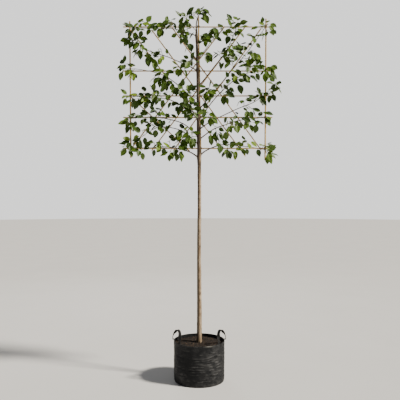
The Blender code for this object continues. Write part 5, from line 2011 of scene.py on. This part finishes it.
def add_cane(skin, node, rng):
    """One cane, with swollen, dark-ringed nodes, a slight bow and hollow cut ends."""
    (start, thick), (end, thin) = cane_ends(node)
    length = np.linalg.norm(end - start)
    rings = cane_rings(length, rng)
    close = [ring + step for ring in rings for step in CANE_RING_ROWS]
    along = sorted({0.0, length, *np.linspace(0.0, length, int(length / CANE_ROW)), *close})
    along = np.array([value for value in along if 0.0 <= value <= length])
    share = along / length
    bow = np.array((rng.uniform(-1, 1), rng.uniform(-0.3, 0.3), rng.uniform(-1, 1))) * CANE_BOW
    axis = (end - start) / length
    bow -= axis * bow.dot(axis)
    centres = start + np.outer(along, axis) + np.outer(np.sin(math.pi * share), bow)
    radii = (thick + (thin - thick) * share) * CANE_SLIM
    ring, bloom = np.zeros(len(along)), np.zeros(len(along))
    for place in rings:
        off = along - place
        radii *= 1.0 + CANE_RING_SWELL * hill(off, CANE_RING_WIDTH)
        radii *= 1.0 - CANE_RING_GROOVE[0] * hill(off - 0.0004, CANE_RING_GROOVE[1])
        ring = np.maximum(ring, hill(off, CANE_STAIN_WIDTH))
        bloom = np.maximum(bloom, hill(off + CANE_BLOOM[0], CANE_BLOOM[1]))
    rows = np.stack((np.full(len(along), rng.random()), ring, bloom), axis=-1)
    mark = np.repeat(rows[:, None], CANE_SIDES, axis=1)
    body = tube_rings(centres, radii, CANE_SIDES)
    hollow = []
    for end_row, inwards in ((0, axis), (-1, -axis)):
        middle = body[end_row].mean(axis=0)
        mouth = middle + (body[end_row] - middle) * CANE_MOUTH
        hollow.append((mouth, mouth + inwards * CANE_HOLLOW))
    body = np.concatenate((hollow[0][::-1], body, hollow[1]))
    mark = np.concatenate((mark[:1], mark[:1], mark, mark[-1:], mark[-1:]))
    # the hollow ends take the dark ring tone as painted shade inside them
    mark[[0, 1, -1, -2], :, 1] = 0.6
    along = np.concatenate(([-0.01, -0.003], along, [length + 0.003, length + 0.01]))
    skin.loft(body, along, mark)


def make_canes(finishes):
    skin, nodes = Skin(), nodes_named("cane_")
    for number, node in enumerate(nodes):
        add_cane(skin, node, random.Random(CANE_SEED + number))
    return dress("bamboo_canes", skin.mesh("bamboo_canes", 62.0), finishes["cane"], nodes)


def crossing(first, second):
    """Where two canes pass one in front of the other: the two nearest axis points, or None."""
    (a, ra), (b, _) = first
    (c, rc), (d, _) = second
    u, v = b - a, d - c
    normal = np.cross(u, v)
    if np.linalg.norm(normal) < 1e-6:
        return None
    s, t = (np.dot(np.cross(c - a, way), normal) / normal.dot(normal) for way in (v, u))
    if not (0.01 < s < 0.99 and 0.01 < t < 0.99):
        return None
    p, q = a + u * s, c + v * t
    if np.linalg.norm(p - q) > ra + rc + 0.0012:
        return None
    return p, q, u / np.linalg.norm(u), v / np.linalg.norm(v), ra, rc


def lashing(p, q, u, v, ra, rc, turns):
    """Loops of twine that bind two crossing canes both ways over the crossing."""
    through = unit(q - p)
    chains = []
    for way in (unit(u + v), unit(u - v)):
        square = unit(np.cross(through, way))
        wide = 1.52 * max(ra, rc) + 1.3 * TWINE_RADIUS
        deep = np.linalg.norm(q - p) / 2 + (ra + rc) / 2 + 1.1 * TWINE_RADIUS
        middle = (p + q) / 2 + through * (rc - ra) / 2
        for number in range(turns):
            shift = square * (number - (turns - 1) / 2) * 2.05 * TWINE_RADIUS
            ring = []
            for step in range(17):
                turn = math.tau * step / 16
                x, y = math.cos(turn), math.sin(turn)
                x, y = (math.copysign(abs(n) ** 0.75, n) for n in (x, y))
                point = middle + shift + way * x * wide + through * y * deep
                ring.append((point, TWINE_RADIUS))
            chains.append(ring)
    return chains


def make_ties(finishes, rods):
    """Twine where uprights cross rails, and where the braces end on the rails."""
    ends = {node: cane_ends(node) for node in nodes_named("cane_")}
    rails = [node for node in ends if "rail" in node]
    chains = []
    for upright in (node for node in ends if "upright" in node):
        for rail in rails:
            met = crossing(ends[upright], ends[rail])
            if met:
                chains += lashing(*met, TIE_TURNS)
    for brace in (node for node in ends if "falling" in node or "rising" in node):
        met = [crossing(ends[rail], ends[brace]) for rail in rails]
        met = sorted((m for m in met if m), key=lambda m: m[0][2])
        for found in met[:1] + met[1:][-1:]:
            chains += lashing(*found, BRACE_TIE_TURNS)
    values = {"Sides": 6, "Thickness": 1.0, "Finish": finishes["twine"]}
    mesh = rods.run("twine_ties", chains_mesh("twine_lines", chains), values)
    return dress("twine_ties", mesh, None, nodes_named("cane_"))


# ---------------------------------------------------------------- studio


def add_lamp(name, kind, power, colour, way):
    """A lamp that shines this way."""
    light = bpy.data.lights.new(name, kind)
    light.energy, light.color = power, colour
    lamp = add_object(name, light)
    lamp.rotation_euler = way.to_track_quat("-Z", "Y").to_euler()
    return light, lamp


def add_lights():
    """The broad main light, from the right, and two soft ones."""
    turn, rise = math.radians(KEY_ROUND_DEG), math.radians(KEY_UP_DEG)
    way = Vector((math.sin(turn) * math.cos(rise), -math.cos(turn) * math.cos(rise), math.sin(rise)))
    light, _ = add_lamp("key", "SUN", KEY_POWER, KEY_COLOUR, -way)
    light.angle = math.radians(KEY_SOFT_DEG)
    for name, (place, aim, size, power, colour) in SOFT_LIGHTS.items():
        light, lamp = add_lamp(name, "AREA", power, colour, Vector(aim) - Vector(place))
        light.size = size
        lamp.location = place


def make_world():
    """Dim even light from all round, and a paler plain colour where the camera looks past the tree."""
    world = bpy.data.worlds.new("studio")
    world.use_nodes = True
    f = Finish(world.node_tree)
    world.node_tree.nodes.clear()
    inputs = {0: f.add("ShaderNodeLightPath").outputs["Is Camera Ray"]}
    for socket, (colour, strength) in ((1, WORLD_LIGHT), (2, WORLD_SEEN)):
        shine = {"Color": colour, "Strength": strength}
        inputs[socket] = f.add("ShaderNodeBackground", None, shine).outputs[0]
    both = f.add("ShaderNodeMixShader", None, inputs)
    f.add("ShaderNodeOutputWorld", None, {"Surface": both.outputs[0]})
    bpy.context.scene.world = world


def make_studio(finishes):
    shape = bmesh.new()
    bmesh.ops.create_circle(shape, cap_ends=True, segments=96, radius=FLOOR_RADIUS)
    mesh = mesh_from(shape, "floor")
    mesh.materials.append(finishes["floor"])
    mesh.transform(Matrix.Translation((0.0, 0.0, -0.0004)))
    floor = add_object("floor", mesh)
    make_world()
    add_lights()
    camera = bpy.data.cameras.new("camera")
    camera.lens, camera.sensor_width, camera.clip_end = CAMERA_LENS, 36.0, 200.0
    view = add_object("camera", camera)
    view.location = CAMERA_PLACE
    view.rotation_euler = (math.pi / 2, 0.0, 0.0)
    bpy.context.scene.camera = view


finishes = make_finishes()
make_studio(finishes)
rods, stitches, crumbs = rods_tree(), stitches_tree(), crumbs_tree()
creases = make_creases()
make_bag(finishes, creases)
make_stitching(finishes, creases, stitches)
for handle, feet in HANDLE_FEET_DEG.items():
    make_strap(handle, feet, finishes)
make_compost(finishes, crumbs)
plans = plan_masses()
grow_crown(plans)
make_trunk(finishes)
make_boughs(finishes, plans)
make_spurs(finishes, plans)
make_leaves(finishes, plans, rods)
make_canes(finishes)
make_ties(finishes, rods)
